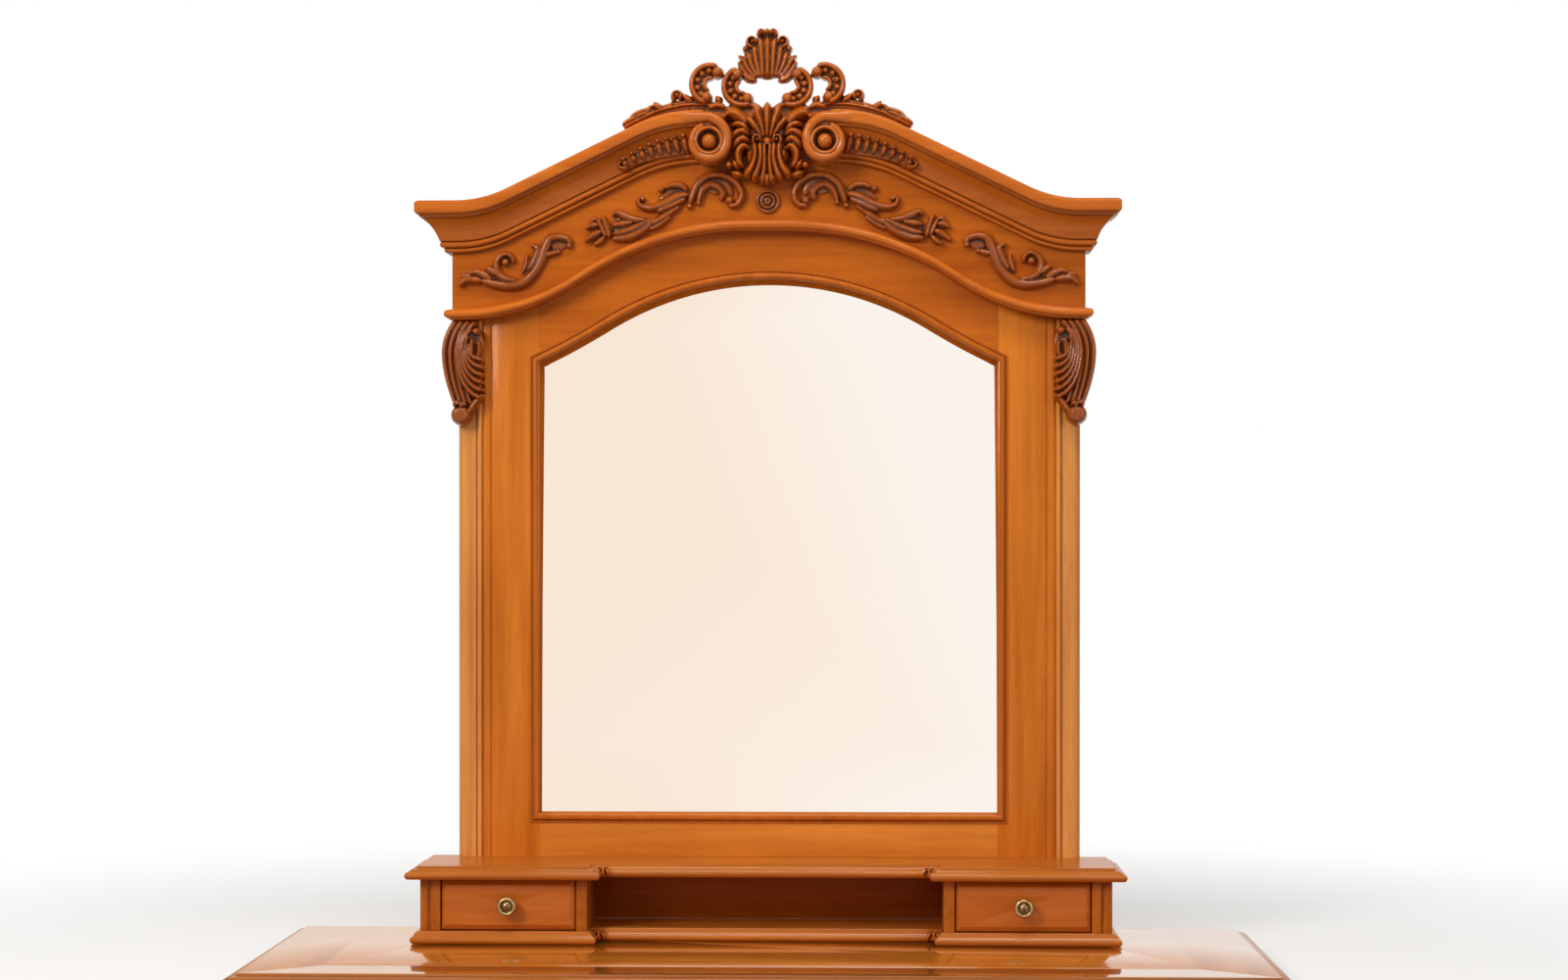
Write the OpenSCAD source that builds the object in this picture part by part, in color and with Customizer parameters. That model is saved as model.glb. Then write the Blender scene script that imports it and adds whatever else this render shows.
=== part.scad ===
// Carved mirror hutch of a dressing table: an arched mirror frame with a swan-neck pediment,
// standing on a low break-front gallery with two small jewellery drawers and an open niche,
// all on the dressing table's moulded top board.
// X is to the right, Y to the back, Z up. The origin is the middle of the underside's box.

/* [Table top] */
// Width of the flat part of the top
top_flat_w = 1250; // [1100:10:1500]
// Depth of the flat part of the top
top_flat_d = 430; // [360:5:520]
// Thickness of the top
top_t = 32; // [28:1:45]
// Projection of the moulded edge past the flat part
top_edge_w = 18; // [12:1:28]
// Width of the border at each end
border_side_w = 90; // [60:1:120]
// Width of the border along the front
border_front_w = 66; // [40:1:90]
// Depth of the quirk between the flat part and the moulded edge
top_quirk = 3; // [1:0.5:5]

/* [Gallery] */
// Outer width over both drawer cases
gallery_w = 892; // [820:2:1000]
// Clear width of the open niche between the cases
niche_w = 460; // [380:2:520]
// Distance from the back edge of the top to the front of the cases
case_front = 164; // [150:1:200]
// Clear height of the drawer openings
case_h = 67; // [56:1:90]
// How far the middle of the gallery is set back
mid_setback = 38; // [20:1:50]
// Thickness of the case sides
side_t = 14; // [10:1:18]
// Width of the stile beside each drawer
case_stile_w = 12; // [8:1:16]
// Depth of the stile beside each drawer
case_stile_d = 16; // [12:1:22]
// Thickness of the gallery's back panel
gallery_back_t = 9; // [6:1:12]
// Thickness of the base board
base_t = 16; // [12:1:22]
// Projection of the base board's nose
base_nose = 12; // [6:1:16]
// Thickness of the shelf
shelf_t = 17; // [14:1:24]
// Projection of the shelf's nose
shelf_nose = 18; // [10:1:24]
// Flat margin of the shelf round the cases
shelf_margin = 3; // [0:1:8]

/* [Drawers] */
// Gap round each drawer front
front_gap = 1.5; // [1:0.1:2.5]
// Thickness of the drawer fronts
drawer_front_t = 16; // [14:1:20]
// Width of the bevel round the raised field of a drawer front
bevel_w = 6.5; // [3:0.5:10]
// Depth of that bevel
bevel_d = 4; // [2:0.5:6]
// Clearance each side of a drawer box in its opening
box_side_gap = 3; // [1.5:0.5:5]
// Thickness of the drawer sides
drawer_side_t = 8; // [6:1:10]
// Thickness of the drawer bottoms
drawer_bottom_t = 4; // [3:0.5:6]
// Height of the drawer bottom's groove above the sides' lower edge
bottom_lift = 4; // [2:1:6]
// Gap behind a closed drawer
drawer_back_gap = 5; // [3:1:12]
// Height of the runner strips
runner_t = 2; // [1.5:0.5:4]
// Running clearance of the drawers
run_gap = 0.3; // [0.2:0.1:0.6]
// Drop of the stop blocks under the shelf
stop_drop = 6; // [4:1:10]
// Depth of the stop blocks
stop_d = 10; // [6:1:16]
// Diameter of the knobs
knob_d = 25; // [18:1:32]
// Projection of the knobs
knob_proj = 21; // [15:1:28]
// Diameter of the knob's foot
knob_foot_d = 14; // [10:1:18]
// Diameter of the knob screws
knob_screw_d = 4; // [3:0.5:5]

/* [Mirror frame] */
// Outer width of the frame over the pilasters
frame_w = 828; // [760:2:880]
// Thickness of the frame
frame_t = 22; // [20:1:30]
// Thickness of the support battens behind the frame
batten_t = 22; // [18:1:30]
// Width of each support batten
batten_w = 40; // [30:1:60]
// Length of each support batten
batten_l = 700; // [500:10:850]
// Width of each pilaster
pilaster_w = 32; // [24:1:40]
// Projection of the pilasters past the frame's face
pilaster_proj = 3; // [1:0.5:6]
// Clear width of the mirror opening
sight_w = 610; // [540:2:660]
// Height of the mirror opening at its crown
sight_h = 710; // [600:5:800]
// Height of the bottom rail
bottom_rail_h = 57.5; // [40:0.5:80]
// Depth of the mirror's rebate, from the frame's back
rebate_d = 10; // [8:0.5:14]
// How far the rebate reaches past the opening
rebate_w = 8.5; // [6:0.5:12]
// Edge clearance of the glass in its rebate
glass_gap = 0.5; // [0.3:0.1:1.5]
// Thickness of the mirror glass
glass_t = 4; // [3:0.5:6]
// Width of the bead round the mirror
sight_bead_w = 13; // [8:1:18]
// Height of the bead round the mirror
sight_bead_h = 5; // [3:0.5:8]
// Width of the grooves along the frame's stiles
stile_groove_w = 3; // [2:0.5:5]
// Depth of the grooves along the frame's stiles
stile_groove_d = 2; // [1:0.5:4]

/* [Pediment] */
// Height from the mirror's crown to the neck bead
rail_crown_h = 63; // [40:1:90]
// Height of the neck bead
neck_bead_h = 14; // [8:1:18]
// Projection of the neck bead
neck_bead_proj = 11; // [6:1:16]
// Height of the pediment at its middle, above the neck bead
pediment_h = 141; // [110:1:170]
// Thickness of the frieze board
frieze_t = 18; // [14:1:24]
// How far the frieze board reaches past the frame at each end
frieze_margin = 5; // [2:1:8]
// Projection of the cornice
cornice_proj = 44; // [30:1:55]
// Height of the cornice moulding
cornice_h = 66; // [50:1:80]
// Distance of the volute's eye from the middle
volute_x = 76; // [66:1:84]
// Radius of the volute at its top
volute_r = 41; // [36:1:46]
// Radius of the volute's eye
volute_eye_r = 10; // [7:1:13]
// Depth of the sunk ground inside the volute's band
volute_sink = 12; // [6:1:18]

// Steepest slope of the mirror's arch
sight_slope = 31.6; // [20:0.1:36]
// Distance from the middle where the mirror's arch is steepest
sight_bend = 215; // [190:1:230]
// Steepest slope of the neck bead
neck_slope = 33.8; // [22:0.1:36]
// Distance from the middle where the neck bead is steepest
neck_bend = 250; // [220:1:270]
// Slope of the cornice's straight run
cornice_slope = 26; // [18:0.5:30]

/* [Carvings] */
// Thickness of the crest carving
crest_t = 24; // [16:1:32]
// Radius of the scrolls beside the shell finial
crest_scroll_r = 22; // [16:1:26]
// Height of the shell finial above the scrolls' middle
shell_h = 75; // [56:1:84]
// Half width of the cartouche between the volutes
cartouche_hw = 26; // [20:1:30]
// Height of that cartouche
cartouche_h = 102; // [84:1:108]
// Length of the feathers in the hollow of the cornice
feather_l = 90; // [60:1:120]
// Height of the carvings on the frieze
spray_t = 9; // [5:1:14]
// Radius of the big scroll in each inner spray
inner_scroll_r = 33; // [24:1:36]
// Distance of that scroll from the middle
inner_scroll_x = 68; // [60:1:80]
// Radius of the rising scroll in each outer spray
outer_scroll_r = 40; // [28:1:42]
// Distance of that scroll from the middle
outer_scroll_x = 333; // [320:1:345]
// Radius of the rosette in the middle of the frieze
rosette_r = 16.5; // [12:0.5:18]
// Height of the corbels
corbel_h = 141; // [112:1:160]
// Projection of the corbels past the pilasters
corbel_proj = 26; // [16:1:36]

/* [Fasteners] */
// Diameter of the assembly screws
screw_d = 4.5; // [3.5:0.5:6]
// Length of the assembly screws
screw_l = 38; // [30:1:38]
// Diameter of their countersunk heads
screw_head_d = 9; // [7:0.5:12]
// Depth of the counterbores under the top
counterbore_d = 6; // [4:1:8]
// Diameter of the top's fixing holes for the carcass below
fixing_hole_d = 5; // [4:0.5:8]
// Depth of those fixing holes
fixing_hole_l = 20; // [12:1:24]
// Spacing of the fixing holes along the width
fixing_x = 1100; // [900:10:1180]
// Spacing of the fixing holes along the depth
fixing_y = 260; // [200:10:280]
// Length of the retaining clips behind the mirror
clip_l = 24; // [18:1:30]
// Width of the retaining clips
clip_w = 12; // [10:1:18]
// Thickness of the retaining clips
clip_t = 3; // [2:0.5:4]
// Diameter of the clip screws
clip_screw_d = 3; // [2.5:0.5:4]

/* [Hidden] */

fine = 48;
small = 0.02;

// Distances to the front are counted from the back edge of the top board.
back_y = (top_flat_d + top_edge_w) / 2;
function y_at(d) = back_y - d;

// Heights, from the underside of the top upwards
base_z = top_t;
case_z = base_z + base_t;
shelf_z = case_z + case_h;
frame_z = shelf_z + shelf_t;
sill_z = frame_z + bottom_rail_h;
crown_z = sill_z + sight_h;
neck_z = crown_z + rail_crown_h;
neck_top_z = neck_z + neck_bead_h;
top_crown_z = neck_top_z + pediment_h;

// Depths from the back edge
frame_back = batten_t;
frame_front = frame_back + frame_t;
frieze_front = frame_front + frieze_t;
gallery_back_front = batten_t + gallery_back_t;

// Half widths
case_hw = gallery_w / 2;
niche_hw = niche_w / 2;
frame_hw = frame_w / 2;
frieze_hw = frame_hw + frieze_margin;
sight_hw = sight_w / 2;
stile_out = frame_hw - pilaster_w;
bay_in = niche_hw + side_t;
bay_out = case_hw - side_t - case_stile_w;
bay_mid = (bay_in + bay_out) / 2;

// Drop of a flat-crowned curve that bends down, runs straight and levels out again
function swan(x, flat, bend, straight, end, slope) =
    let(a = abs(x),
        r1 = (bend - flat) / sin(slope),
        r2 = (end - straight) / sin(slope),
        d1 = r1 * (1 - cos(slope)),
        d2 = d1 + (straight - bend) * tan(slope),
        d3 = d2 + r2 * (1 - cos(slope)))
    a <= flat ? 0
    : a <= bend ? r1 - sqrt(r1 * r1 - pow(a - flat, 2))
    : a <= straight ? d1 + (a - bend) * tan(slope)
    : a < end ? d3 - (r2 - sqrt(r2 * r2 - pow(end - a, 2)))
    : d3;

// The neck bead and the cornice are level over the outer few millimetres of the frame.
curve_end = frame_hw - 4;
cornice_bend = 172;
cornice_straight = 342;
function sight_arch_z(x) = crown_z - swan(x, 0, sight_bend, sight_bend, 2.27 * sight_hw, sight_slope);
function neck_line_z(x) = neck_z - swan(x, 25, neck_bend, neck_bend, curve_end, neck_slope);
function cornice_line_z(x) = top_crown_z
    - swan(x, 90, cornice_bend, cornice_straight, curve_end, cornice_slope);

// A line of points along a curve, from x0 to x1 in n steps
function run_x(x0, x1, n) = [for (i = [0:n]) x0 + (x1 - x0) * i / n];

function arc_points(cx, cy, r, a0, a1, n) =
    [for (i = [0:n]) let(a = a0 + (a1 - a0) * i / n) [cx + r * cos(a), cy + r * sin(a)]];

// Closed loop moved outwards by d, with mitred corners (anticlockwise loops)
function unit(v) = v / norm(v);
function grown(loop, d) = [for (i = [0:len(loop) - 1])
    let(p = loop[i],
        a = unit(p - loop[(i + len(loop) - 1) % len(loop)]),
        b = unit(loop[(i + 1) % len(loop)] - p),
        na = [a[1], -a[0]],
        nb = [b[1], -b[0]],
        m = unit(na + nb))
    p + m * d / max(0.5, m * na)];

function reversed(p) = [for (i = [len(p) - 1:-1:0]) p[i]];

// Outline round a centre line of [x, z, width] points
function band_side(p, s) = [for (i = [0:len(p) - 1])
    let(a = p[max(0, i - 1)], b = p[min(len(p) - 1, i + 1)],
        t = unit([b[0] - a[0], b[1] - a[1]]))
    [p[i][0] - s * t[1] * p[i][2] / 2, p[i][1] + s * t[0] * p[i][2] / 2]];
module band(p) {
    polygon(concat(band_side(p, 1), reversed(band_side(p, -1))));
}

// Value that runs evenly from v[0] to v[1]
function between(v, t) = v[0] + (v[1] - v[0]) * t;

// Carved scroll: a band round a centre, its radius, angle and width each running evenly
module scroll(centre, r, a, w) {
    n = ceil(abs(a[1] - a[0]) / 22);
    band([for (i = [0:n]) let(t = i / n)
        [centre[0] + between(r, t) * cos(between(a, t)),
        centre[1] + between(r, t) * sin(between(a, t)), between(w, t)]]);
}

// Carved leaf: starts at its root on a heading and bends evenly, full near the root
module leaf(root, heading, length, width, bend) {
    n = 7;
    r = length / (bend * PI / 180);
    c = [root[0] - r * sin(heading), root[1] + r * cos(heading)];
    band([for (i = [0:n]) let(t = i / n, a = heading + bend * t)
        [c[0] + r * sin(a), c[1] - r * cos(a), width * max(0.15, sin(35 + 145 * t))]]);
}

// Domed eye or ball of a scroll
module eye(centre, r) {
    translate(centre) circle(r = r, $fn = 24);
}

// A flat outline in X and Z, thickened forwards from a depth d
module slab(d, t) {
    translate([0, y_at(d), 0]) rotate([90, 0, 0]) linear_extrude(t) children();
}

module box(x0, x1, d0, d1, z0, z1) {
    translate([x0, y_at(d1), z0]) cube([x1 - x0, d1 - d0, z1 - z0]);
}

module both_sides() {
    children();
    mirror([1, 0, 0]) children();
}

// ---- Table top ----

top_hw = top_flat_w / 2;
field_hw = top_hw - border_side_w;
field_d = top_flat_d - border_front_w;
edge_r = top_t / 2 - top_quirk;

// Section of the moulded edge: how far out, and how high
edge_section = concat([[0, 0], [0, top_t - top_quirk], [top_edge_w - edge_r, top_t - top_quirk]],
    arc_points(top_edge_w - edge_r, top_t - top_quirk - edge_r, edge_r, 75, 0, 6),
    arc_points(top_edge_w, 0, top_t - top_quirk - edge_r - 3, 90, 170, 5));

module fixing_holes() {
    for (x = [-1, 1], y = [-1, 1])
        translate([x * fixing_x / 2, y_at(top_flat_d / 2) + y * fixing_y / 2, -small])
            cylinder(d = fixing_hole_d, h = fixing_hole_l + small, $fn = fine);
}

module top_panel() {
    color("#c98a4a") difference() {
        box(-field_hw, field_hw, 0, field_d, 0, top_t);
        hutch_screw_holes();
        fixing_holes();
    }
}

module side_border(s) {
    color("#b8743a") difference() {
        linear_extrude(top_t) polygon([
            [s * field_hw, y_at(0)], [s * top_hw, y_at(0)],
            [s * top_hw, y_at(top_flat_d)], [s * field_hw, y_at(field_d)]]);
        fixing_holes();
    }
}

module front_border() {
    color("#b8743a") linear_extrude(top_t) polygon([
        [-field_hw, y_at(field_d)], [field_hw, y_at(field_d)],
        [top_hw, y_at(top_flat_d)], [-top_hw, y_at(top_flat_d)]]);
}

module side_top_edge(s) {
    color("#a85f2c") intersection() {
        translate([s * top_hw, y_at(0), 0]) rotate([90, 0, 0])
            linear_extrude(top_flat_d + top_edge_w) polygon([for (p = edge_section) [s * p[0], p[1]]]);
        linear_extrude(top_t) polygon([
            [s * top_hw, y_at(0)], [s * (top_hw + top_edge_w), y_at(0)],
            [s * (top_hw + top_edge_w), y_at(top_flat_d + top_edge_w)], [s * top_hw, y_at(top_flat_d)]]);
    }
}

module front_top_edge() {
    reach = top_hw + top_edge_w;
    color("#a85f2c") intersection() {
        translate([-reach, y_at(top_flat_d), 0]) rotate([90, 0, 90])
            linear_extrude(2 * reach) polygon([for (p = edge_section) [-p[0], p[1]]]);
        linear_extrude(top_t) polygon([
            [-top_hw, y_at(top_flat_d)], [top_hw, y_at(top_flat_d)],
            [reach, y_at(top_flat_d + top_edge_w)], [-reach, y_at(top_flat_d + top_edge_w)]]);
    }
}

// ---- Screws ----

// A countersunk screw along -Z, its head's face at the origin
module screw(gap = 0) {
    mirror([0, 0, 1]) {
        cylinder(d = screw_d + 2 * gap, h = screw_l + gap, $fn = fine);
        cylinder(d1 = screw_head_d + 2 * gap, d2 = screw_d + 2 * gap,
            h = (screw_head_d - screw_d) / 2, $fn = fine);
    }
}

hutch_screw_d = (case_front + gallery_back_front) / 2;
hutch_screw_l = top_t - counterbore_d + base_t * 0.6;

module hutch_screw_places() {
    for (s = [-1, 1], x = [bay_mid - 70, bay_mid + 70])
        translate([s * x, y_at(hutch_screw_d), counterbore_d]) children();
}

module hutch_screw(gap = 0) {
    cylinder(d = screw_d + 2 * gap, h = hutch_screw_l + gap, $fn = fine);
    cylinder(d1 = screw_head_d + 2 * gap, d2 = screw_d + 2 * gap,
        h = (screw_head_d - screw_d) / 2, $fn = fine);
}

module hutch_screw_holes() {
    hutch_screw_places() {
        hutch_screw(0.1);
        translate([0, 0, -counterbore_d - small])
            cylinder(d = screw_head_d + 1, h = counterbore_d + small, $fn = fine);
    }
}

batten_x = sight_hw + rebate_w + 22 + batten_w / 2;
batten_screw_zs = [shelf_z + shelf_t / 2, frame_z + 60, frame_z + batten_l / 2, base_z + batten_l - 60];

module batten_screw_places() {
    for (s = [-1, 1], z = batten_screw_zs)
        translate([s * batten_x, y_at(0), z]) rotate([-90, 0, 0]) children();
}

module assembly_screws() {
    color("#9a9a98") {
        hutch_screw_places() hutch_screw();
        batten_screw_places() screw();
    }
}

// ---- Gallery ----

// Break-front outline of the gallery, grown outwards by g
function gallery_outline(g) = [
    [-case_hw - g, y_at(frame_back)], [-case_hw - g, y_at(case_front + g)],
    [-niche_hw + g, y_at(case_front + g)], [-niche_hw + g, y_at(case_front - mid_setback + g)],
    [niche_hw - g, y_at(case_front - mid_setback + g)], [niche_hw - g, y_at(case_front + g)],
    [case_hw + g, y_at(case_front + g)], [case_hw + g, y_at(frame_back)]];

// A solid through break-front outlines, one for each [growth, height] of the section
module moulded_board(section) {
    sides = 8;
    n = len(section);
    points = [for (s = section, p = gallery_outline(s[0])) [p[0], p[1], s[1]]];
    polyhedron(points, concat(
        [[for (i = [sides - 1:-1:0]) i]],
        [for (r = [0:n - 2], i = [0:sides - 1]) [
            r * sides + i, r * sides + (i + 1) % sides,
            (r + 1) * sides + (i + 1) % sides, (r + 1) * sides + i]],
        [[for (i = [0:sides - 1]) (n - 1) * sides + i]]));
}

function base_section() = concat(
    [[base_nose - 3, base_z]],
    arc_points(base_nose - 5, base_z + 5, 5, -50, 40, 4),
    arc_points(base_nose + 6, base_z + base_t + 1, 12, 226, 196, 4),
    [[base_nose * 0.3, base_z + base_t - 2], [base_nose * 0.3, base_z + base_t]]);

function shelf_section() = let(m = shelf_margin, w = shelf_nose - shelf_margin) concat(
    [[m + w - 7, shelf_z], [m + w - 2, shelf_z + 1.5]],
    arc_points(m + w - 4.5, shelf_z + 5.5, 4.5, -40, 50, 4),
    arc_points(m + w - 16, shelf_z - 1, shelf_t - 2, 44, 72, 4),
    [[m, shelf_z + shelf_t - 2.5], [m, shelf_z + shelf_t]]);

module base_board() {
    color("#a85a26") difference() {
        moulded_board(base_section());
        hutch_screw_holes();
    }
}

module shelf() {
    color("#a85a26") difference() {
        moulded_board(shelf_section());
        batten_screw_places() screw(0.1);
    }
}

module gallery_back() {
    color("#4a2410") box(-case_hw, case_hw, frame_back, gallery_back_front, case_z, shelf_z);
}

module case_outer_side(s) {
    groove_w = 4;
    groove_d = 3;
    color("#a85a26") scale([s, 1, 1]) difference() {
        box(case_hw - side_t, case_hw, gallery_back_front, case_front, case_z, shelf_z);
        box(case_hw - side_t - small, case_hw - side_t + groove_w, case_front - groove_d,
            case_front + small, case_z - small, shelf_z + small);
    }
}

module case_inner_side(s) {
    color("#a85a26") scale([s, 1, 1])
        box(niche_hw, bay_in, gallery_back_front, case_front, case_z, shelf_z);
}

module case_stile(s) {
    color("#b0652c") scale([s, 1, 1])
        box(bay_out, case_hw - side_t, case_front - case_stile_d, case_front, case_z, shelf_z);
}

// Carved leaves in the four inner corners where the gallery steps back
module corner_leaf(nose, z0, t) {
    x = niche_hw - nose - 0.1;
    d = case_front - mid_setback + nose + 0.1;
    tip = case_front + nose;
    both_sides() translate([0, 0, z0]) {
        linear_extrude(t) polygon(concat([[x, y_at(d)]],
            arc_points(x - 20, y_at(d + 20), 20, 90, 0, 5)));
        translate([x - 11, y_at(d + 11), 0]) cylinder(r = 9, h = t + 2, $fn = 24);
        linear_extrude(t * 0.8) polygon([[x, y_at(d + 12)], [x, y_at(tip)], [x - 5, y_at(tip + 2)],
            [x - 9, y_at(tip - 3)], [x - 12, y_at(d + 12)]]);
    }
}

module corner_leaves() {
    color("#8c4520") {
        corner_leaf(base_nose, base_z, base_t);
        corner_leaf(shelf_nose, shelf_z, shelf_t);
    }
}

// ---- Drawers ----

box_z0 = case_z + runner_t + run_gap;
box_back = gallery_back_front + drawer_back_gap;
box_front = case_front - drawer_front_t;
box_in = bay_in + box_side_gap;
box_out = bay_out - box_side_gap;
side_top_z = shelf_z - stop_drop - 2;
back_top_z = shelf_z - 2;
stop_back = box_back + drawer_side_t + drawer_travel();
knob_z = (case_z + shelf_z) / 2;

// Travel until the drawer's back meets the stop block
function drawer_travel() = (box_front - 2 - stop_d) - (box_back + drawer_side_t);

module drawer_runners() {
    color("#c9a06a") both_sides() {
        box(box_in, box_in + drawer_side_t, gallery_back_front, box_front - 1, case_z, case_z + runner_t);
        box(box_out - drawer_side_t, box_out, gallery_back_front, box_front - 1, case_z, case_z + runner_t);
        box(box_out + run_gap, case_hw - side_t, gallery_back_front, case_front - case_stile_d,
            case_z, case_z + 14);
    }
}

module drawer_stops() {
    color("#c9a06a") both_sides()
        box(bay_mid - 12, bay_mid + 12, stop_back, stop_back + stop_d, shelf_z - stop_drop, shelf_z);
}

module drawer_front(s) {
    g = front_gap;
    b = bevel_w;
    x0 = bay_in + g;
    x1 = bay_out - g;
    z0 = case_z + g;
    z1 = shelf_z - g;
    yb = y_at(case_front - bevel_d);
    yf = y_at(case_front);
    color("#c2702f") scale([s, 1, 1]) difference() {
        union() {
            box(x0, x1, box_front, case_front - bevel_d, z0, z1);
            polyhedron([
                [x0, yb, z0], [x1, yb, z0], [x1, yb, z1], [x0, yb, z1],
                [x0 + b, yf, z0 + b], [x1 - b, yf, z0 + b], [x1 - b, yf, z1 - b], [x0 + b, yf, z1 - b]],
                [[0, 1, 2, 3], [7, 6, 5, 4], [4, 5, 1, 0], [5, 6, 2, 1], [6, 7, 3, 2], [7, 4, 0, 3]]);
        }
        translate([bay_mid, y_at(box_front) + small, knob_z]) rotate([90, 0, 0])
            cylinder(d = knob_screw_d + 0.2, h = drawer_front_t + 1, $fn = fine);
    }
}

module drawer_sides(s) {
    color("#d2a870") scale([s, 1, 1]) for (x = [box_in, box_out - drawer_side_t])
        difference() {
            box(x, x + drawer_side_t, box_back, box_front, box_z0, side_top_z);
            box(box_in + drawer_side_t / 2, box_out - drawer_side_t / 2, box_back - small, box_front + small,
                box_z0 + bottom_lift, box_z0 + bottom_lift + drawer_bottom_t);
        }
}

module drawer_back(s) {
    color("#d2a870") scale([s, 1, 1])
        box(box_in + drawer_side_t, box_out - drawer_side_t, box_back, box_back + drawer_side_t,
            box_z0 + bottom_lift + drawer_bottom_t, back_top_z);
}

module drawer_bottom(s) {
    color("#dcb98a") scale([s, 1, 1])
        box(box_in + drawer_side_t / 2, box_out - drawer_side_t / 2, box_back, box_front,
            box_z0 + bottom_lift, box_z0 + bottom_lift + drawer_bottom_t);
}

// Turned brass knob with a rolled rim, a sunk ring and a domed button
module knob(s) {
    r = knob_d / 2;
    foot = knob_foot_d / 2;
    bore = knob_screw_d / 2 + 0.1;
    color("#7d6b48") translate([s * bay_mid, y_at(case_front), knob_z]) rotate([90, 0, 0])
        difference() {
            rotate_extrude($fn = fine) polygon(concat(
                [[0, 0], [foot, 0], [foot, 2], [foot * 0.7, 4], [foot * 0.7, knob_proj - 12]],
                arc_points(r - 3, knob_proj - 4, 3, -90, 120, 8),
                [[r - 5, knob_proj - 3], [r * 0.5, knob_proj - 3]],
                arc_points(0, knob_proj - 8, 8, 52, 90, 5)));
            translate([0, 0, -small]) cylinder(r = bore, h = 9, $fn = fine);
        }
}

module knob_screw(s) {
    inside = y_at(box_front);
    color("#9a9a98") translate([s * bay_mid, inside, knob_z]) rotate([90, 0, 0]) {
        cylinder(d = knob_screw_d, h = drawer_front_t + 8, $fn = fine);
        translate([0, 0, -2.5]) cylinder(d = knob_screw_d * 2, h = 2.5, $fn = fine);
    }
}

// ---- Mirror frame ----

sight_loop = concat([[-sight_hw, sill_z], [sight_hw, sill_z]],
    [for (x = run_x(sight_hw, -sight_hw, 32)) [x, sight_arch_z(x)]]);
stile_top = cornice_line_z(frame_hw) - 18;

module rebate() {
    translate([0, y_at(frame_back - small), 0]) rotate([90, 0, 0])
        linear_extrude(rebate_d + small) polygon(grown(sight_loop, rebate_w));
}

module stile(s) {
    g1 = stile_out - stile_groove_w;
    g2 = g1 - 8 - stile_groove_w;
    color("#bd6a2a") difference() {
        scale([s, 1, 1]) difference() {
            box(sight_hw, stile_out, frame_back, frame_front, frame_z, stile_top);
            for (x = [g1, g2])
                box(x, x + stile_groove_w, frame_front - stile_groove_d, frame_front + small,
                    frame_z - small, stile_top + small);
        }
        rebate();
        batten_screw_places() screw(0.1);
    }
}

module bottom_rail() {
    color("#bd6a2a") difference() {
        box(-sight_hw, sight_hw, frame_back, frame_front, frame_z, sill_z);
        rebate();
    }
}

module top_rail() {
    color("#bd6a2a") difference() {
        slab(frame_back, frame_t) polygon(concat(
            [for (x = run_x(-sight_hw, sight_hw, 32)) [x, sight_arch_z(x)]],
            [for (x = run_x(sight_hw, -sight_hw, 32)) [x, cornice_line_z(x) - 4]]));
        rebate();
    }
}

// Half column with a rounded outer edge, a cove and a bead, seen from above; it ends under the frieze
pilaster_top = neck_line_z(frieze_hw);
module pilaster(s) {
    r = 13;
    front = frame_front + pilaster_proj;
    color("#b5622a") scale([s, 1, 1]) translate([0, 0, frame_z]) linear_extrude(pilaster_top - frame_z)
        polygon(concat(
            [[stile_out, y_at(frame_back)], [stile_out, y_at(frame_front)]],
            arc_points(stile_out + 3, y_at(frame_front), 3, 180, 360, 4),
            arc_points(frame_hw - r, y_at(front - 4), 4, 190, 270, 3),
            arc_points(frame_hw - r, y_at(front - r), r, 270, 360, 8),
            [[frame_hw, y_at(frame_back)]]));
}

// Bead round the mirror opening, swept along the opening's outline
module sight_bead() {
    n = len(sight_loop);
    steps = 5;
    w = sight_bead_w - 1;
    section = [for (i = [0:steps]) let(a = 180 * i / steps)
        [1 + w / 2 - w / 2 * cos(a), frame_front + sight_bead_h * sin(a)]];
    k = len(section);
    rings = [for (s = section) grown(sight_loop, s[0])];
    points = [for (i = [0:n - 1], j = [0:k - 1])
        [rings[j][i][0], y_at(section[j][1]), rings[j][i][1]]];
    color("#a0501f") polyhedron(points, [for (i = [0:n - 1], j = [0:k - 1]) [
        i * k + j, i * k + (j + 1) % k,
        ((i + 1) % n) * k + (j + 1) % k, ((i + 1) % n) * k + j]]);
}

glass_front = frame_back + rebate_d;

module mirror_glass() {
    color("#e8d8c4") slab(glass_front - glass_t, glass_t) polygon(grown(sight_loop, rebate_w - glass_gap));
}

module mirror_backboard() {
    color("#b08a5c") slab(frame_back, rebate_d - glass_t)
        polygon(grown(sight_loop, rebate_w - glass_gap));
}

// Turn clips that hold the backboard, each over the joint between board and frame
clip_rows = [sill_z + 90, sill_z + sight_h * 0.3, sill_z + sight_h * 0.56, sill_z + sight_h * 0.8];
clip_x = sight_hw + rebate_w;

module clip_places() {
    for (s = [-1, 1], z = clip_rows) translate([s * clip_x, y_at(frame_back), z])
        scale([s, 1, 1]) children();
    for (x = [-150, 150]) translate([x, y_at(frame_back), sill_z - rebate_w])
        rotate([0, 90, 0]) children();
}

module backboard_clips() {
    color("#9a9a98") clip_places() difference() {
        translate([-clip_l / 2, 0, -clip_w / 2]) cube([clip_l, clip_t, clip_w]);
        translate([clip_l / 4, -small, 0]) rotate([-90, 0, 0])
            cylinder(d = clip_screw_d + 0.2, h = clip_t + 1, $fn = fine);
    }
}

module clip_screws() {
    color("#c0b070") clip_places() translate([clip_l / 4, clip_t, 0]) rotate([-90, 0, 0]) {
        translate([0, 0, -clip_t]) cylinder(d = clip_screw_d, h = clip_t, $fn = fine);
        cylinder(d = clip_screw_d * 2, h = 1.5, $fn = fine);
    }
}

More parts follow.
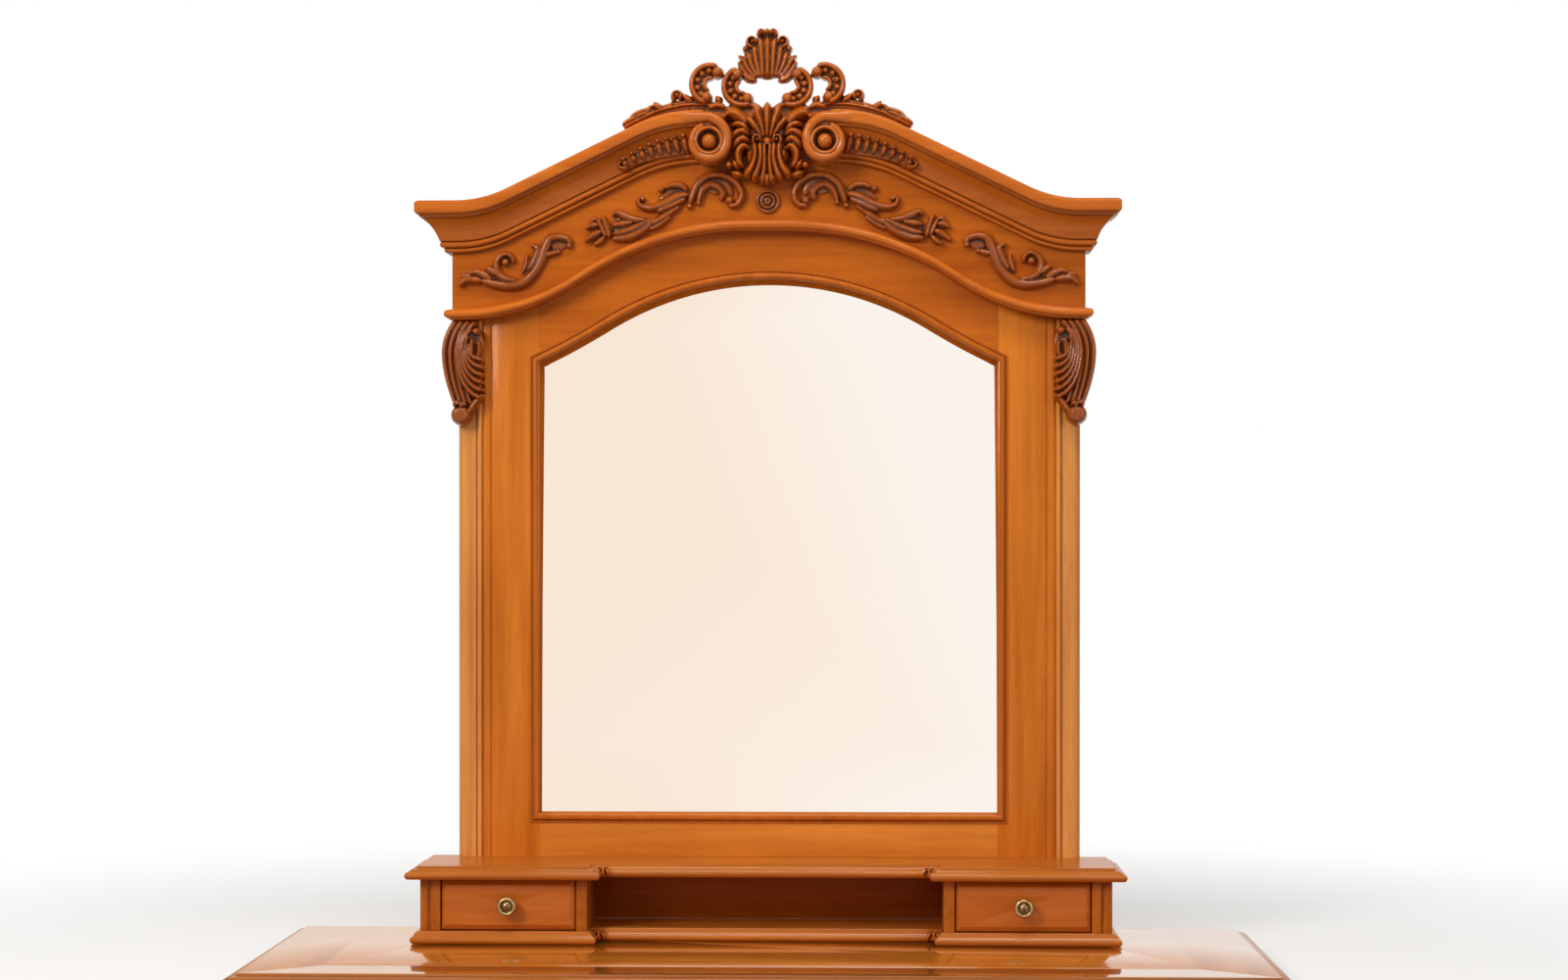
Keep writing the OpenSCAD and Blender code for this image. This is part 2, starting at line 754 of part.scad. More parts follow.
module batten(s) {
    color("#c9a06a") difference() {
        scale([s, 1, 1]) box(batten_x - batten_w / 2, batten_x + batten_w / 2, 0, batten_t,
            base_z, base_z + batten_l);
        batten_screw_places() screw(0.1);
    }
}

// ---- Pediment ----

// Front board of the frieze, with cheeks that return along its ends
module frieze_board() {
    top = [for (x = run_x(frieze_hw, -frieze_hw, 48)) [x, cornice_line_z(x)]];
    color("#c2702f") {
        slab(frame_front, frieze_t) polygon(concat(
            [for (x = run_x(-frieze_hw, frieze_hw, 48)) [x, neck_line_z(x)]], top));
        both_sides() box(stile_out, frieze_hw, frame_back, frame_front,
            pilaster_top, cornice_line_z(frieze_hw));
    }
}

// Solid swept along a line of [x, z] points and mitred round both ends of the frieze
module swept_with_returns(section, line, left_return, right_return) {
    y0 = y_at(frieze_front);
    function ring(x, z, out, y) = [for (p = section) [x + out * p[0], y - (out == 0 ? p[0] : 0), z - p[1]]];
    function mitre(x, z, out) = [for (p = section) [x + out * p[0], y0 - p[0], z - p[1]]];
    function end_ring(x, z, out) = [for (p = section) [x + out * p[0], y_at(frame_back), z - p[1]]];
    first = line[0];
    last = line[len(line) - 1];
    rings = concat(
        left_return ? [end_ring(-frieze_hw, first[1], -1), mitre(-frieze_hw, first[1], -1)]
            : [ring(first[0], first[1], 0, y0)],
        [for (i = [1:len(line) - 2]) ring(line[i][0], line[i][1], 0, y0)],
        right_return ? [mitre(frieze_hw, last[1], 1), end_ring(frieze_hw, last[1], 1)]
            : [ring(last[0], last[1], 0, y0)]);
    k = len(section);
    n = len(rings);
    polyhedron([for (r = rings, p = r) p], concat(
        [[for (j = [0:k - 1]) j]],
        [for (i = [0:n - 2], j = [0:k - 1]) [
            i * k + j, (i + 1) * k + j, (i + 1) * k + (j + 1) % k, i * k + (j + 1) % k]],
        [[for (j = [k - 1:-1:0]) (n - 1) * k + j]]));
}

// Torus bead under the frieze
module neck_bead() {
    h = neck_bead_h;
    section = concat([[0, 0]], [for (i = [0:6]) let(a = 90 - 30 * i)
        [neck_bead_proj - h / 2 + h / 2 * cos(a), h / 2 - h / 2 * sin(a)]], [[0, h]]);
    line = [for (x = run_x(-frieze_hw, frieze_hw, 48)) [x, neck_line_z(x) + h]];
    color("#a85a26") swept_with_returns(section, line, true, true);
}

// Section of the cornice: how far out, and how far down from its top line
function cornice_section() = let(p = cornice_proj, h = cornice_h) concat(
    [[0, 0], [p - 4, 0], [p, 4], [p, 14], [p - 3, 17], [p - 6, 17], [p - 6, 21], [p - 9, 22]],
    arc_points(p - 9, h - 16, 28, 262, 188, 6),
    [[9, h - 13], [13, h - 11], [13, h - 7], [8, h - 5], [8, h - 3], [5, h], [0, h]]);

cornice_inner = volute_x + 26;
cornice_line = [for (x = concat([frieze_hw], run_x(curve_end, cornice_straight, 5),
    run_x(cornice_bend, cornice_inner, 5))) [x, cornice_line_z(x)]];

module right_cornice_solid() {
    swept_with_returns(cornice_section(), reversed(cornice_line), false, true);
}

// Scrolled end of the swan neck: a spiral band round a domed eye, on a sunk ground
volute_z = cornice_line_z(volute_x) - volute_r;
function volute_spiral(a) =
    let(t = a / 360)
    volute_r * (0.70 - 0.10 * t + 0.30 * pow(max(0, 1 - t * 3), 2));
module volute_shape() {
    polygon([for (a = [0:12:360])
        [volute_x - volute_spiral(a) * sin(a), volute_z + volute_spiral(a) * cos(a)]]);
    polygon([[volute_x, volute_z], [cornice_inner, volute_z + 6],
        [cornice_inner, volute_z + volute_r], [volute_x, volute_z + volute_r]]);
}

module volute(s) {
    ground = cornice_proj - volute_sink;
    band_out = volute_z + volute_r - 18;
    color("#a04f1e") scale([s, 1, 1]) {
        slab(frieze_front, ground) volute_shape();
        slab(frieze_front + ground - small, volute_sink + 3 + small) difference() {
            volute_shape();
            translate([volute_x, volute_z]) circle(r = volute_eye_r + 8, $fn = fine);
            polygon([[volute_x, volute_z - 2], [cornice_inner + 1, volute_z + 3],
                [cornice_inner + 1, band_out], [volute_x, band_out]]);
        }
        translate([volute_x, y_at(frieze_front + ground - small), volute_z]) rotate([90, 0, 0])
            cylinder(r = volute_eye_r, h = volute_sink, $fn = fine);
    }
}

// ---- Carvings, each drawn in multiples of its own scroll ----

crest_back = frieze_front + 4;

// The line that the crest's leaves lie on, just clear of the cornice's top, from the pediment's crown
seat_gap = 0.3;
function crest_seat(x) = cornice_line_z(x) - top_crown_z + seat_gap;

// Fan of leaves from one root, both sides of an upright middle leaf
module fan(root, middle, step, count, length, shorter, width) {
    for (i = [-count:count])
        leaf(root, middle + i * step, length - abs(i) * shorter, width, i == 0 ? 0.1 : -12 * sign(i));
}

// Shell of flutes that widen from one root to round ends, both sides of an upright one
module fluted_shell(root, middle, step, count, length, shorter, width) {
    for (i = [-count:count]) let(l = length - abs(i) * shorter)
        translate(root) rotate(middle + i * step) {
            polygon([[0, -width / 3], [l, -width / 2], [l, width / 2], [0, width / 3]]);
            eye([l, 0], width / 2);
        }
}

// Shell finial of seven flutes under a curled top, drawn up from the middle of its scrolls
module shell() {
    h = shell_h;
    fluted_shell([0, 0.12 * h], 90, 23, 3, 0.62 * h, 0.075 * h, 0.25 * h);
    eye([0, 0.86 * h], 0.14 * h);
}

module crest_carving() {
    r = crest_scroll_r;
    seat = 5;
    curls = [[5.35 * r, 0.5 * r], [6.7 * r, 0.4 * r]];
    leaf_end = 8.7 * r;
    color("#8c4520") translate([0, 0, top_crown_z]) {
        slab(crest_back, crest_t) {
            translate([0, 1.7 * r]) shell();
            translate([-2.5 * r, seat]) square([5 * r, 0.5 * r]);
        }
        both_sides() {
            slab(crest_back, crest_t) {
                scroll([1.5 * r, 1.5 * r], [0.86 * r, 0.86 * r], [75, -118], [0.68 * r, 0.75 * r]);
                scroll([3.4 * r, 1.65 * r], [0.9 * r, 0.92 * r], [114, -72], [0.7 * r, 0.8 * r]);
                translate([2.3 * r, seat]) square([2 * r, 0.45 * r]);
            }
            slab(crest_back, crest_t * 0.8) {
                polygon(concat([for (x = run_x(2.3 * r, leaf_end, 14)) [x, crest_seat(x)]],
                    [for (x = run_x(leaf_end, 2.3 * r, 10)) [x, crest_seat(x) + 3 + (leaf_end - x) * 0.11]]));
                for (c = curls)
                    scroll([c[0], crest_seat(c[0]) + 2 * c[1]], [c[1], c[1] * 0.8], [-120, 130],
                        [c[1] * 0.7, c[1] * 0.5]);
            }
            slab(crest_back, crest_t + 3) {
                eye([1.75 * r, 2.26 * r], 0.34 * r);
                eye([1.16 * r, 0.77 * r], 0.36 * r);
                eye([3.06 * r, 2.48 * r], 0.36 * r);
                eye([3.68 * r, 0.8 * r], 0.36 * r);
                for (c = curls) eye([c[0], crest_seat(c[0]) + 2 * c[1]], c[1] * 0.6);
            }
        }
    }
}

module centre_cartouche() {
    t = cornice_proj;
    w = cartouche_hw;
    h = cartouche_h;
    top = 5;
    module outline() {
        translate([0, top - 0.46 * h]) scale([1, 1.5]) circle(r = 0.85 * w, $fn = 40);
        fluted_shell([0, top - 0.4 * h], 90, 26, 2, 0.3 * h, 0.03 * h, 0.5 * w);
        fluted_shell([0, top - 0.78 * h], -90, 30, 2, 0.17 * h, 0.015 * h, 0.36 * w);
        both_sides() {
            leaf([0.6 * w, top - 0.5 * h], -38, 1.45 * w, 0.7 * w, 24);
            for (drop = [0.12, 0.28, 0.4])
                leaf([0.5 * w, top - (drop + 0.1) * h], 25, 0.95 * w, 0.5 * w, 40);
            scroll([1.5 * w, top - 0.76 * h], [0.42 * w, 0.3 * w], [80, -160], [0.3 * w, 0.2 * w]);
        }
    }
    color("#8c4520") translate([0, 0, top_crown_z]) {
        difference() {
            slab(frieze_front, t * 0.7) outline();
            translate([0, 0, -top_crown_z]) both_sides() volute(1);
        }
        slab(frieze_front + t * 0.7 - small, t * 0.4)
            fan([0, top - 0.38 * h], 90, 26, 1, 0.34 * h, 0.04 * h, 0.3 * w);
        both_sides() {
            slab(frieze_front + t * 0.7 - small, t * 0.4)
                leaf([0.3 * w, top - 0.4 * h], -96, 0.52 * h, 0.42 * w, 28);
            slab(frieze_front + t * 0.7 - small, t * 0.45) eye([0.34 * w, top - 0.42 * h], 0.23 * w);
        }
    }
}

// Ribbed feathers that lie in the hollow of the cornice beside each volute
module cove_feathers() {
    ribs = 8;
    root_x = cornice_inner + 2;
    rib_step = feather_l / ribs;
    depth = 22;
    function feather_z(x) = -0.69 * cornice_h - 0.3 * feather_l * pow((x - root_x) / feather_l, 2);
    color("#8c4520") difference() {
        both_sides() translate([0, 0, top_crown_z]) {
            slab(frieze_front + 6, 20) band([for (i = [0:8]) let(x = root_x + feather_l * i / 8)
                [x, feather_z(x), depth * (1 - 0.6 * pow(i / 8, 2))]]);
            for (i = [0:ribs - 1]) let(x = root_x + (i + 0.5) * rib_step)
                slab(frieze_front + 26 - small, 6)
                    leaf([x + 4, feather_z(x) + depth * (0.42 - 0.03 * i)], -112,
                        depth * (0.95 - 0.06 * i), rib_step * 0.6, 14);
        }
        both_sides() right_cornice_solid();
        both_sides() volute(1);
    }
}

// Flowing leaf sprays on the frieze, nearest the middle, drawn for a scroll of radius one
module inner_spray_outline() {
    scroll([0, 0], [1.12, 0.92], [-15, 190], [0.34, 0.28]);
    scroll([-0.55, 0], [0.42, 0.3], [170, 330], [0.25, 0.15]);
    eye([-0.55, 0], 0.21);
    scroll([0.15, 0.06], [0.45, 0.3], [40, 200], [0.2, 0.15]);
    leaf([0.6, -0.1], 80, 0.85, 0.24, 30);
    leaf([0.9, 0], -14, 3.4, 0.42, -16);
    leaf([1.2, 0.15], 105, 0.6, 0.24, 25);
    leaf([1.2, 0.2], 40, 1.15, 0.3, -70);
    leaf([1.45, 0.15], -28, 1.35, 0.3, 20);
    scroll([2.9, -0.1], [0.27, 0.15], [-100, 170], [0.18, 0.12]);
    leaf([2.5, -0.8], -22, 1.55, 0.3, -5);
    leaf([4.18, -1.67], 78, 0.95, 0.3, 5);
    for (heading = [12, -12, -35]) leaf([4.3, -1.15], heading, 0.88, 0.26, -10);
}

module inner_sprays() {
    r = inner_scroll_r;
    color("#8c4520") both_sides() translate([inner_scroll_x, 0, neck_top_z + 0.76 * r])
        slab(frieze_front, spray_t) scale(r) inner_spray_outline();
}

// Smaller scrolling sprays on the frieze, towards its ends, drawn the same way
module outer_spray_outline() {
    scroll([0, 0], [1, 1], [-90, -186], [0.26, 0.26]);
    scroll([-0.1, 0], [0.68, 0.62], [-75, -190], [0.15, 0.12]);
    leaf([1.6, -0.87], 184, 1.75, 0.24, -6);
    leaf([-1, 0.05], 100, 1.05, 0.3, 80);
    leaf([-0.55, -0.4], 75, 0.6, 0.2, 25);
    scroll([0.3, -0.27], [0.3, 0.3], [170, -50], [0.15, 0.12]);
    eye([0.3, -0.25], 0.17);
    leaf([0.5, -0.45], -70, 0.45, 0.16, -15);
    for (heading = [-14, 4, 22]) leaf([1.2, -0.84], heading, 0.75, 0.22, -10);
}

module outer_sprays() {
    r = outer_scroll_r;
    color("#8c4520") both_sides() translate([outer_scroll_x, 0, neck_top_z - 1.25 * r])
        slab(frieze_front, spray_t * 0.8) scale(r) outer_spray_outline();
}

module frieze_rosette() {
    r = rosette_r;
    color("#8c4520") translate([0, y_at(frieze_front), neck_top_z + 1.5 * r]) rotate([90, 0, 0])
        rotate_extrude($fn = fine) polygon([[0, 0], [r, 0], [r, 3], [r - 2, 5], [r - 5, 3], [r - 8, 3],
            [r - 9, 6], [r - 11, 4], [4, 4], [3, 7], [0, 8]]);
}

// Scrolled bracket at the head of each pilaster: a swelling outer edge over a rolled foot
module corbel(s) {
    top = neck_line_z(frame_hw) - small;
    in = frame_hw - pilaster_w - 5;
    roll_r = 15;
    swell = 21;
    widest = 0.31 * corbel_h;
    function edge_x(drop) = frame_hw - 2 + swell * (drop < widest
        ? 1 - 0.75 * pow(1 - drop / widest, 2) : cos(150 * (drop - widest) / corbel_h));
    color("#8c4520") scale([s, 1, 1]) difference() {
        slab(frame_front, corbel_proj + pilaster_proj) polygon(concat([[in, top]],
            [for (drop = run_x(0, corbel_h - 1.7 * roll_r, 9)) [edge_x(drop), top - drop]],
            arc_points(frame_hw - 6, top - corbel_h + roll_r, roll_r, 30, -200, 12),
            [[in, top - corbel_h + 3 * roll_r]]));
        pilaster(1);
    }
}

top_panel();
side_border(-1);  // left_border
side_border(1);  // right_border
front_border();
side_top_edge(-1);  // left_top_edge
side_top_edge(1);  // right_top_edge
front_top_edge();
base_board();
gallery_back();
shelf();
corner_leaves();
case_outer_side(-1);  // left_case_outer_side
case_outer_side(1);  // right_case_outer_side
case_inner_side(-1);  // left_case_inner_side
case_inner_side(1);  // right_case_inner_side
case_stile(-1);  // left_case_stile
case_stile(1);  // right_case_stile
drawer_runners();
drawer_stops();
drawer_front(-1);  // left_drawer_front
drawer_sides(-1);  // left_drawer_sides
drawer_back(-1);  // left_drawer_back
drawer_bottom(-1);  // left_drawer_bottom
knob(-1);  // left_knob
knob_screw(-1);  // left_knob_screw
drawer_front(1);  // right_drawer_front
drawer_sides(1);  // right_drawer_sides
drawer_back(1);  // right_drawer_back
drawer_bottom(1);  // right_drawer_bottom
knob(1);  // right_knob
knob_screw(1);  // right_knob_screw
stile(-1);  // left_stile
stile(1);  // right_stile
bottom_rail();
top_rail();
pilaster(-1);  // left_pilaster
pilaster(1);  // right_pilaster
sight_bead();
mirror_glass();
mirror_backboard();
backboard_clips();
clip_screws();
batten(-1);  // left_batten
batten(1);  // right_batten
assembly_screws();
frieze_board();
neck_bead();
mirror([1, 0, 0]) color("#b5622a") right_cornice_solid();  // left_cornice
color("#b5622a") right_cornice_solid();  // right_cornice
volute(-1);  // left_volute
volute(1);  // right_volute
crest_carving();
centre_cartouche();
cove_feathers();
inner_sprays();
outer_sprays();
frieze_rosette();
corbel(-1);  // left_corbel
corbel(1);  // right_corbel
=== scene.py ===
import math

import bmesh
import bpy
import numpy as np
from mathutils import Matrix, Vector


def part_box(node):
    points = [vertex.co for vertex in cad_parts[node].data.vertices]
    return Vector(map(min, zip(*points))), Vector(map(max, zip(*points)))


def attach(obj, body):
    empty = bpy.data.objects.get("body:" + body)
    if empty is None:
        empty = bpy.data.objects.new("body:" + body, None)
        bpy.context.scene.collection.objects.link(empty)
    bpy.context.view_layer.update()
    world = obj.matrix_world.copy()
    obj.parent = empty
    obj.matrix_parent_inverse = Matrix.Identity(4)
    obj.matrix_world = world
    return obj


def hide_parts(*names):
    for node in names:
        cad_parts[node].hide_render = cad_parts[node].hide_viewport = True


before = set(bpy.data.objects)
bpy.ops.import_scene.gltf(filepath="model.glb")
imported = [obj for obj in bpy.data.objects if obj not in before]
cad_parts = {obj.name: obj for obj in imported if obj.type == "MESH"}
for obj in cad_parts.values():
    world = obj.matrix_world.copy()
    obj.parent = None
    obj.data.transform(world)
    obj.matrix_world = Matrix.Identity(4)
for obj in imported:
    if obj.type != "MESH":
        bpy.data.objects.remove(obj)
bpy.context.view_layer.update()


# ---- Studio ----
# A plain pale floor, a warm white surround and soft light from panels on both sides and above.
# The camera stands at eye height in front of the mirror, a little to its right.

camera_data = bpy.data.cameras.new("camera")
camera = bpy.data.objects.new("camera", camera_data)
bpy.context.scene.collection.objects.link(camera)
bpy.context.scene.camera = camera
table_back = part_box("top_panel")[1].y
table_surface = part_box("top_panel")[1].z
camera_aside = 0.135
camera_distance = 3.780
camera_rise = 0.504
camera.location = (camera_aside, table_back - camera_distance, table_surface + camera_rise)
camera_yaw = math.radians(-1.75)
camera_pitch = math.radians(-0.31)
aim = Vector((math.sin(camera_yaw) * math.cos(camera_pitch),
              math.cos(camera_yaw) * math.cos(camera_pitch), math.sin(camera_pitch)))
camera.rotation_euler = aim.to_track_quat("-Z", "Y").to_euler()
camera_data.sensor_width = 36.0
camera_data.lens = 64.55
camera_data.shift_y = 0.05
camera_data.clip_end = 60.0
bpy.context.scene.view_settings.view_transform = "Standard"


def softbox(name, place, target, width, height, power, colour):
    light = bpy.data.lights.new(name, "AREA")
    light.shape = "RECTANGLE"
    light.size = width
    light.size_y = height
    light.energy = power
    light.color = colour
    holder = bpy.data.objects.new(name, light)
    bpy.context.scene.collection.objects.link(holder)
    holder.location = place
    holder.rotation_euler = (Vector(target) - Vector(place)).to_track_quat("-Z", "Y").to_euler()


studio_target = (0.0, 0.0, 0.6)
softbox("key_panel", (-2.2, -2.8, 2.3), studio_target, 1.0, 1.4, 84.0, (1.0, 0.97, 0.93))
softbox("fill_panel", (2.8, -2.4, 1.5), studio_target, 1.0, 1.6, 17.0, (1.0, 0.97, 0.94))
softbox("ceiling_panel", (0.2, -1.3, 3.2), studio_target, 1.6, 0.8, 36.0, (1.0, 0.98, 0.96))


def feed(tree, value, socket):
    # A plain value, or another node's output, into a socket
    if isinstance(value, bpy.types.NodeSocket):
        tree.links.new(value, socket)
    else:
        socket.default_value = value


def filled(tree, node, **inputs):
    # The node itself, with its inputs fed by name
    for name, value in inputs.items():
        feed(tree, value, node.inputs[name.replace("_", " ")])
    return node


def linked(tree, kind, **inputs):
    # A new node with its inputs fed by name
    return filled(tree, tree.nodes.new(kind), **inputs)


def calculated(tree, operation, first, second=0.5, clamp=False):
    # One sum on two numbers or sockets
    node = tree.nodes.new("ShaderNodeMath")
    node.operation = operation
    node.use_clamp = clamp
    feed(tree, first, node.inputs[0])
    feed(tree, second, node.inputs[1])
    return node.outputs[0]


def ranged(tree, value, low, high, to_low=0.0, to_high=1.0, soft=False):
    # A value stretched from one range to another, with eased ends if soft
    node = linked(tree, "ShaderNodeMapRange", Value=value, From_Min=low, From_Max=high, To_Min=to_low,
                  To_Max=to_high)
    if soft:
        node.interpolation_type = "SMOOTHSTEP"
    return node.outputs["Result"]


def blended(tree, factor, first, second, blend="MIX"):
    # Two colours blended by a factor
    node = tree.nodes.new("ShaderNodeMix")
    node.data_type = "RGBA"
    node.blend_type = blend
    return filled(tree, node, Factor=factor, A=first, B=second).outputs["Result"]


def shader_mix(tree, factor, first, second):
    # Two shaders' outputs mixed by a factor
    node = linked(tree, "ShaderNodeMixShader", Fac=factor)
    tree.links.new(first.outputs[0], node.inputs[1])
    tree.links.new(second.outputs[0], node.inputs[2])
    return node


def wall_colour(tree, across):
    # Cream walls, warmer towards the left
    return blended(tree, ranged(tree, across, -0.16, 0.10), (0.975, 0.815, 0.690, 1.0),
                   (0.995, 0.915, 0.850, 1.0))


white = (1.0, 1.0, 1.0, 1.0)
world = bpy.data.worlds.new("studio")
bpy.context.scene.world = world
world.use_nodes = True
surround = world.node_tree
surround.nodes.clear()
ray = surround.nodes.new("ShaderNodeLightPath").outputs
direction = surround.nodes.new("ShaderNodeTexCoord").outputs["Generated"]
heading = linked(surround, "ShaderNodeSeparateXYZ", Vector=direction).outputs
# Soft light comes from above and in front; less of it comes up from below
ambient = linked(surround, "ShaderNodeBackground", Color=(1.0, 0.96, 0.91, 1.0),
                 Strength=ranged(surround, heading["Z"], -0.45, 0.65, 0.06, 0.46, soft=True))
# What gloss and glass show: the walls in front of the mirror and behind it are lit evenly, and
# those at the sides are dimmer
either_way = calculated(surround, "ABSOLUTE", heading["Y"])
reflected = linked(surround, "ShaderNodeBackground", Color=wall_colour(surround, heading["X"]),
                   Strength=ranged(surround, either_way, 0.35, 0.92, 0.40, 1.0, soft=True))
seen_white = linked(surround, "ShaderNodeBackground", Color=white, Strength=1.0)
seen_directly = calculated(surround, "MAXIMUM", ray["Is Camera Ray"], ray["Is Transmission Ray"])
seen_in_gloss = shader_mix(surround, ray["Is Glossy Ray"], ambient, reflected)
linked(surround, "ShaderNodeOutputWorld",
       Surface=shader_mix(surround, seen_directly, seen_in_gloss, seen_white).outputs[0])


def new_material(name):
    # A material, its tree, its surface shader and the object's own coordinates in it
    material = bpy.data.materials.new(name)
    material.use_nodes = True
    tree = material.node_tree
    where = tree.nodes.new("ShaderNodeTexCoord").outputs["Object"]
    return material, tree, tree.nodes["Principled BSDF"], where


floor_mesh = bpy.data.meshes.new("floor")
reach = 12.0
floor_z = -0.001
floor_mesh.from_pydata([(-reach, -reach, floor_z), (reach, -reach, floor_z), (reach, reach, floor_z),
                        (-reach, reach, floor_z)], [], [(0, 1, 2, 3)])
floor = bpy.data.objects.new("floor", floor_mesh)
bpy.context.scene.collection.objects.link(floor)
floor_paint, floor_tree, floor_shader, floor_where = new_material("floor_paint")
filled(floor_tree, floor_shader, Base_Color=(0.92, 0.92, 0.92, 1.0), Roughness=0.9)
floor_heading = linked(floor_tree, "ShaderNodeVectorMath", Vector=floor_where)
floor_heading.operation = "NORMALIZE"
floor_parts = linked(floor_tree, "ShaderNodeSeparateXYZ", Vector=floor_heading.outputs[0]).outputs
floor_distance = linked(floor_tree, "ShaderNodeVectorMath", Vector=floor_where)
floor_distance.operation = "LENGTH"
far_off = ranged(floor_tree, floor_distance.outputs["Value"], 0.75, 1.9, 0.35, 1.0, soft=True)
# Near the object the floor keeps its shadow; further off it passes into the white surround, and
# gloss and glass see it there as one more cream wall. Only part of the light that falls on the
# floor comes back up on the object's undersides
floor_ray = floor_tree.nodes.new("ShaderNodeLightPath").outputs
floor_surface = floor_shader
for seen_by, share, colour, strength in (
        ("Is Camera Ray", far_off, white, 1.0),
        ("Is Glossy Ray", far_off, wall_colour(floor_tree, floor_parts["X"]), 1.0),
        ("Is Diffuse Ray", 0.7, white, 0.0)):
    glow = linked(floor_tree, "ShaderNodeEmission", Color=colour, Strength=strength)
    amount = calculated(floor_tree, "MULTIPLY", floor_ray[seen_by], share)
    floor_surface = shader_mix(floor_tree, amount, floor_surface, glow)
filled(floor_tree, floor_tree.nodes["Material Output"], Surface=floor_surface.outputs[0])
floor_mesh.materials.append(floor_paint)


# ---- Table top ----
# The dressing table's top: a solid field with mitred borders, level and glossy, and a rounded
# edge moulding under a small quirk. All of it is fruitwood under a thick polished lacquer.

mm = 0.001


def new_tree(name, kind, inputs, outputs):
    # A node tree with named sockets: the tree, its inputs' keys, what it is given, and its end node
    tree = bpy.data.node_groups.new(name, kind)
    keys = {label: tree.interface.new_socket(name=label, in_out="INPUT",
                                             socket_type="NodeSocket" + data).identifier
            for label, data in inputs.items()}
    for label, data in outputs.items():
        tree.interface.new_socket(name=label, in_out="OUTPUT", socket_type="NodeSocket" + data)
    return tree, keys, tree.nodes.new("NodeGroupInput").outputs, tree.nodes.new("NodeGroupOutput")


def grain_group():
    # Wood grain that runs along X of the vector it is given: fibres, broad figure, blotches and pores
    group, _, given, end = new_tree(
        "wood_grain", "ShaderNodeTree",
        {"Vector": "Vector", "Pale": "Color", "Deep": "Color", "Figure": "Float",
         "Fibre Width": "Float", "Gloss Roughness": "Float"},
        {"Color": "Color", "Roughness": "Float", "Height": "Float"})

    def stretched(factors):
        node = linked(group, "ShaderNodeVectorMath", Vector=given["Vector"])
        node.operation = "MULTIPLY"
        node.inputs[1].default_value = factors
        return node.outputs[0]

    def noise(factors, scale, detail, roughness):
        return linked(group, "ShaderNodeTexNoise", Vector=stretched(factors), Scale=scale,
                      Detail=detail, Roughness=roughness).outputs["Fac"]

    fibre_scale = calculated(group, "DIVIDE", 0.016, given["Fibre Width"])
    fibre = ranged(group, noise((1.1, 24.0, 24.0), fibre_scale, 7.0, 0.62), 0.33, 0.67)
    rings = linked(group, "ShaderNodeTexWave", Vector=stretched((0.5, 5.0, 5.0)), Scale=1.5,
                   Distortion=7.0, Detail=3.0, Detail_Scale=0.8)
    rings.bands_direction = "DIAGONAL"
    blotch = ranged(group, noise((2.0, 3.4, 3.4), 1.6, 3.0, 0.5), 0.3, 0.7)
    pores = ranged(group, noise((26.0, 900.0, 900.0), 1.0, 2.0, 0.5), 0.60, 0.72)
    figured = calculated(group, "MULTIPLY", rings.outputs["Fac"], given["Figure"])
    plain = calculated(group, "SUBTRACT", 1.0, given["Figure"])
    fibres = calculated(group, "MULTIPLY", fibre, plain)
    streaks = calculated(group, "MULTIPLY", calculated(group, "ADD", figured, fibres), 0.68)
    tone = calculated(group, "ADD", streaks, calculated(group, "MULTIPLY", blotch, 0.32))
    stained = blended(group, tone, given["Deep"], given["Pale"])
    pored = blended(group, calculated(group, "MULTIPLY", pores, 0.35), stained, given["Deep"], "MULTIPLY")
    dulled = calculated(group, "MULTIPLY", calculated(group, "SUBTRACT", fibre, 0.5), 0.07)
    filled(group, end, Color=pored, Roughness=calculated(group, "ADD", given["Gloss Roughness"], dulled),
           Height=calculated(group, "SUBTRACT", calculated(group, "MULTIPLY", fibre, 0.35), pores))
    return group


wood_grain = grain_group()


def wear_group():
    # Painted highlights added on edges and ridges, and painted shade mixed in over hollows, grooves and
    # quirks, from the piece's own two attributes
    group, _, given, end = new_tree(
        "rubbed_and_glazed", "ShaderNodeTree",
        {"Color": "Color", "Rub": "Float", "Glaze": "Float", "Glaze Color": "Color"}, {"Color": "Color"})
    colour = given["Color"]
    for attribute, strength, blend, added in (("arris", "Rub", "ADD", "Color"),
                                              ("hollow", "Glaze", "MIX", "Glaze Color")):
        reader = group.nodes.new("ShaderNodeAttribute")
        reader.attribute_name = attribute
        amount = calculated(group, "MULTIPLY", reader.outputs["Fac"], given[strength], clamp=True)
        colour = blended(group, amount, colour, given[added], blend)
    filled(group, end, Color=colour)
    return group


rubbed_and_glazed = wear_group()
# The dark brown that the painted shade mixes in
glaze_brown = (0.070, 0.015, 0.002, 1.0)
quarter_turn = math.radians(90.0)
grain_turns = {"X": (0.0, 0.0, 0.0), "Y": (0.0, 0.0, quarter_turn), "Z": (0.0, quarter_turn, 0.0)}


def grouped(tree, group, **inputs):
    # A node group set in a tree, with its inputs fed by name
    node = tree.nodes.new("ShaderNodeGroup")
    node.node_tree = group
    return filled(tree, node, **inputs).outputs


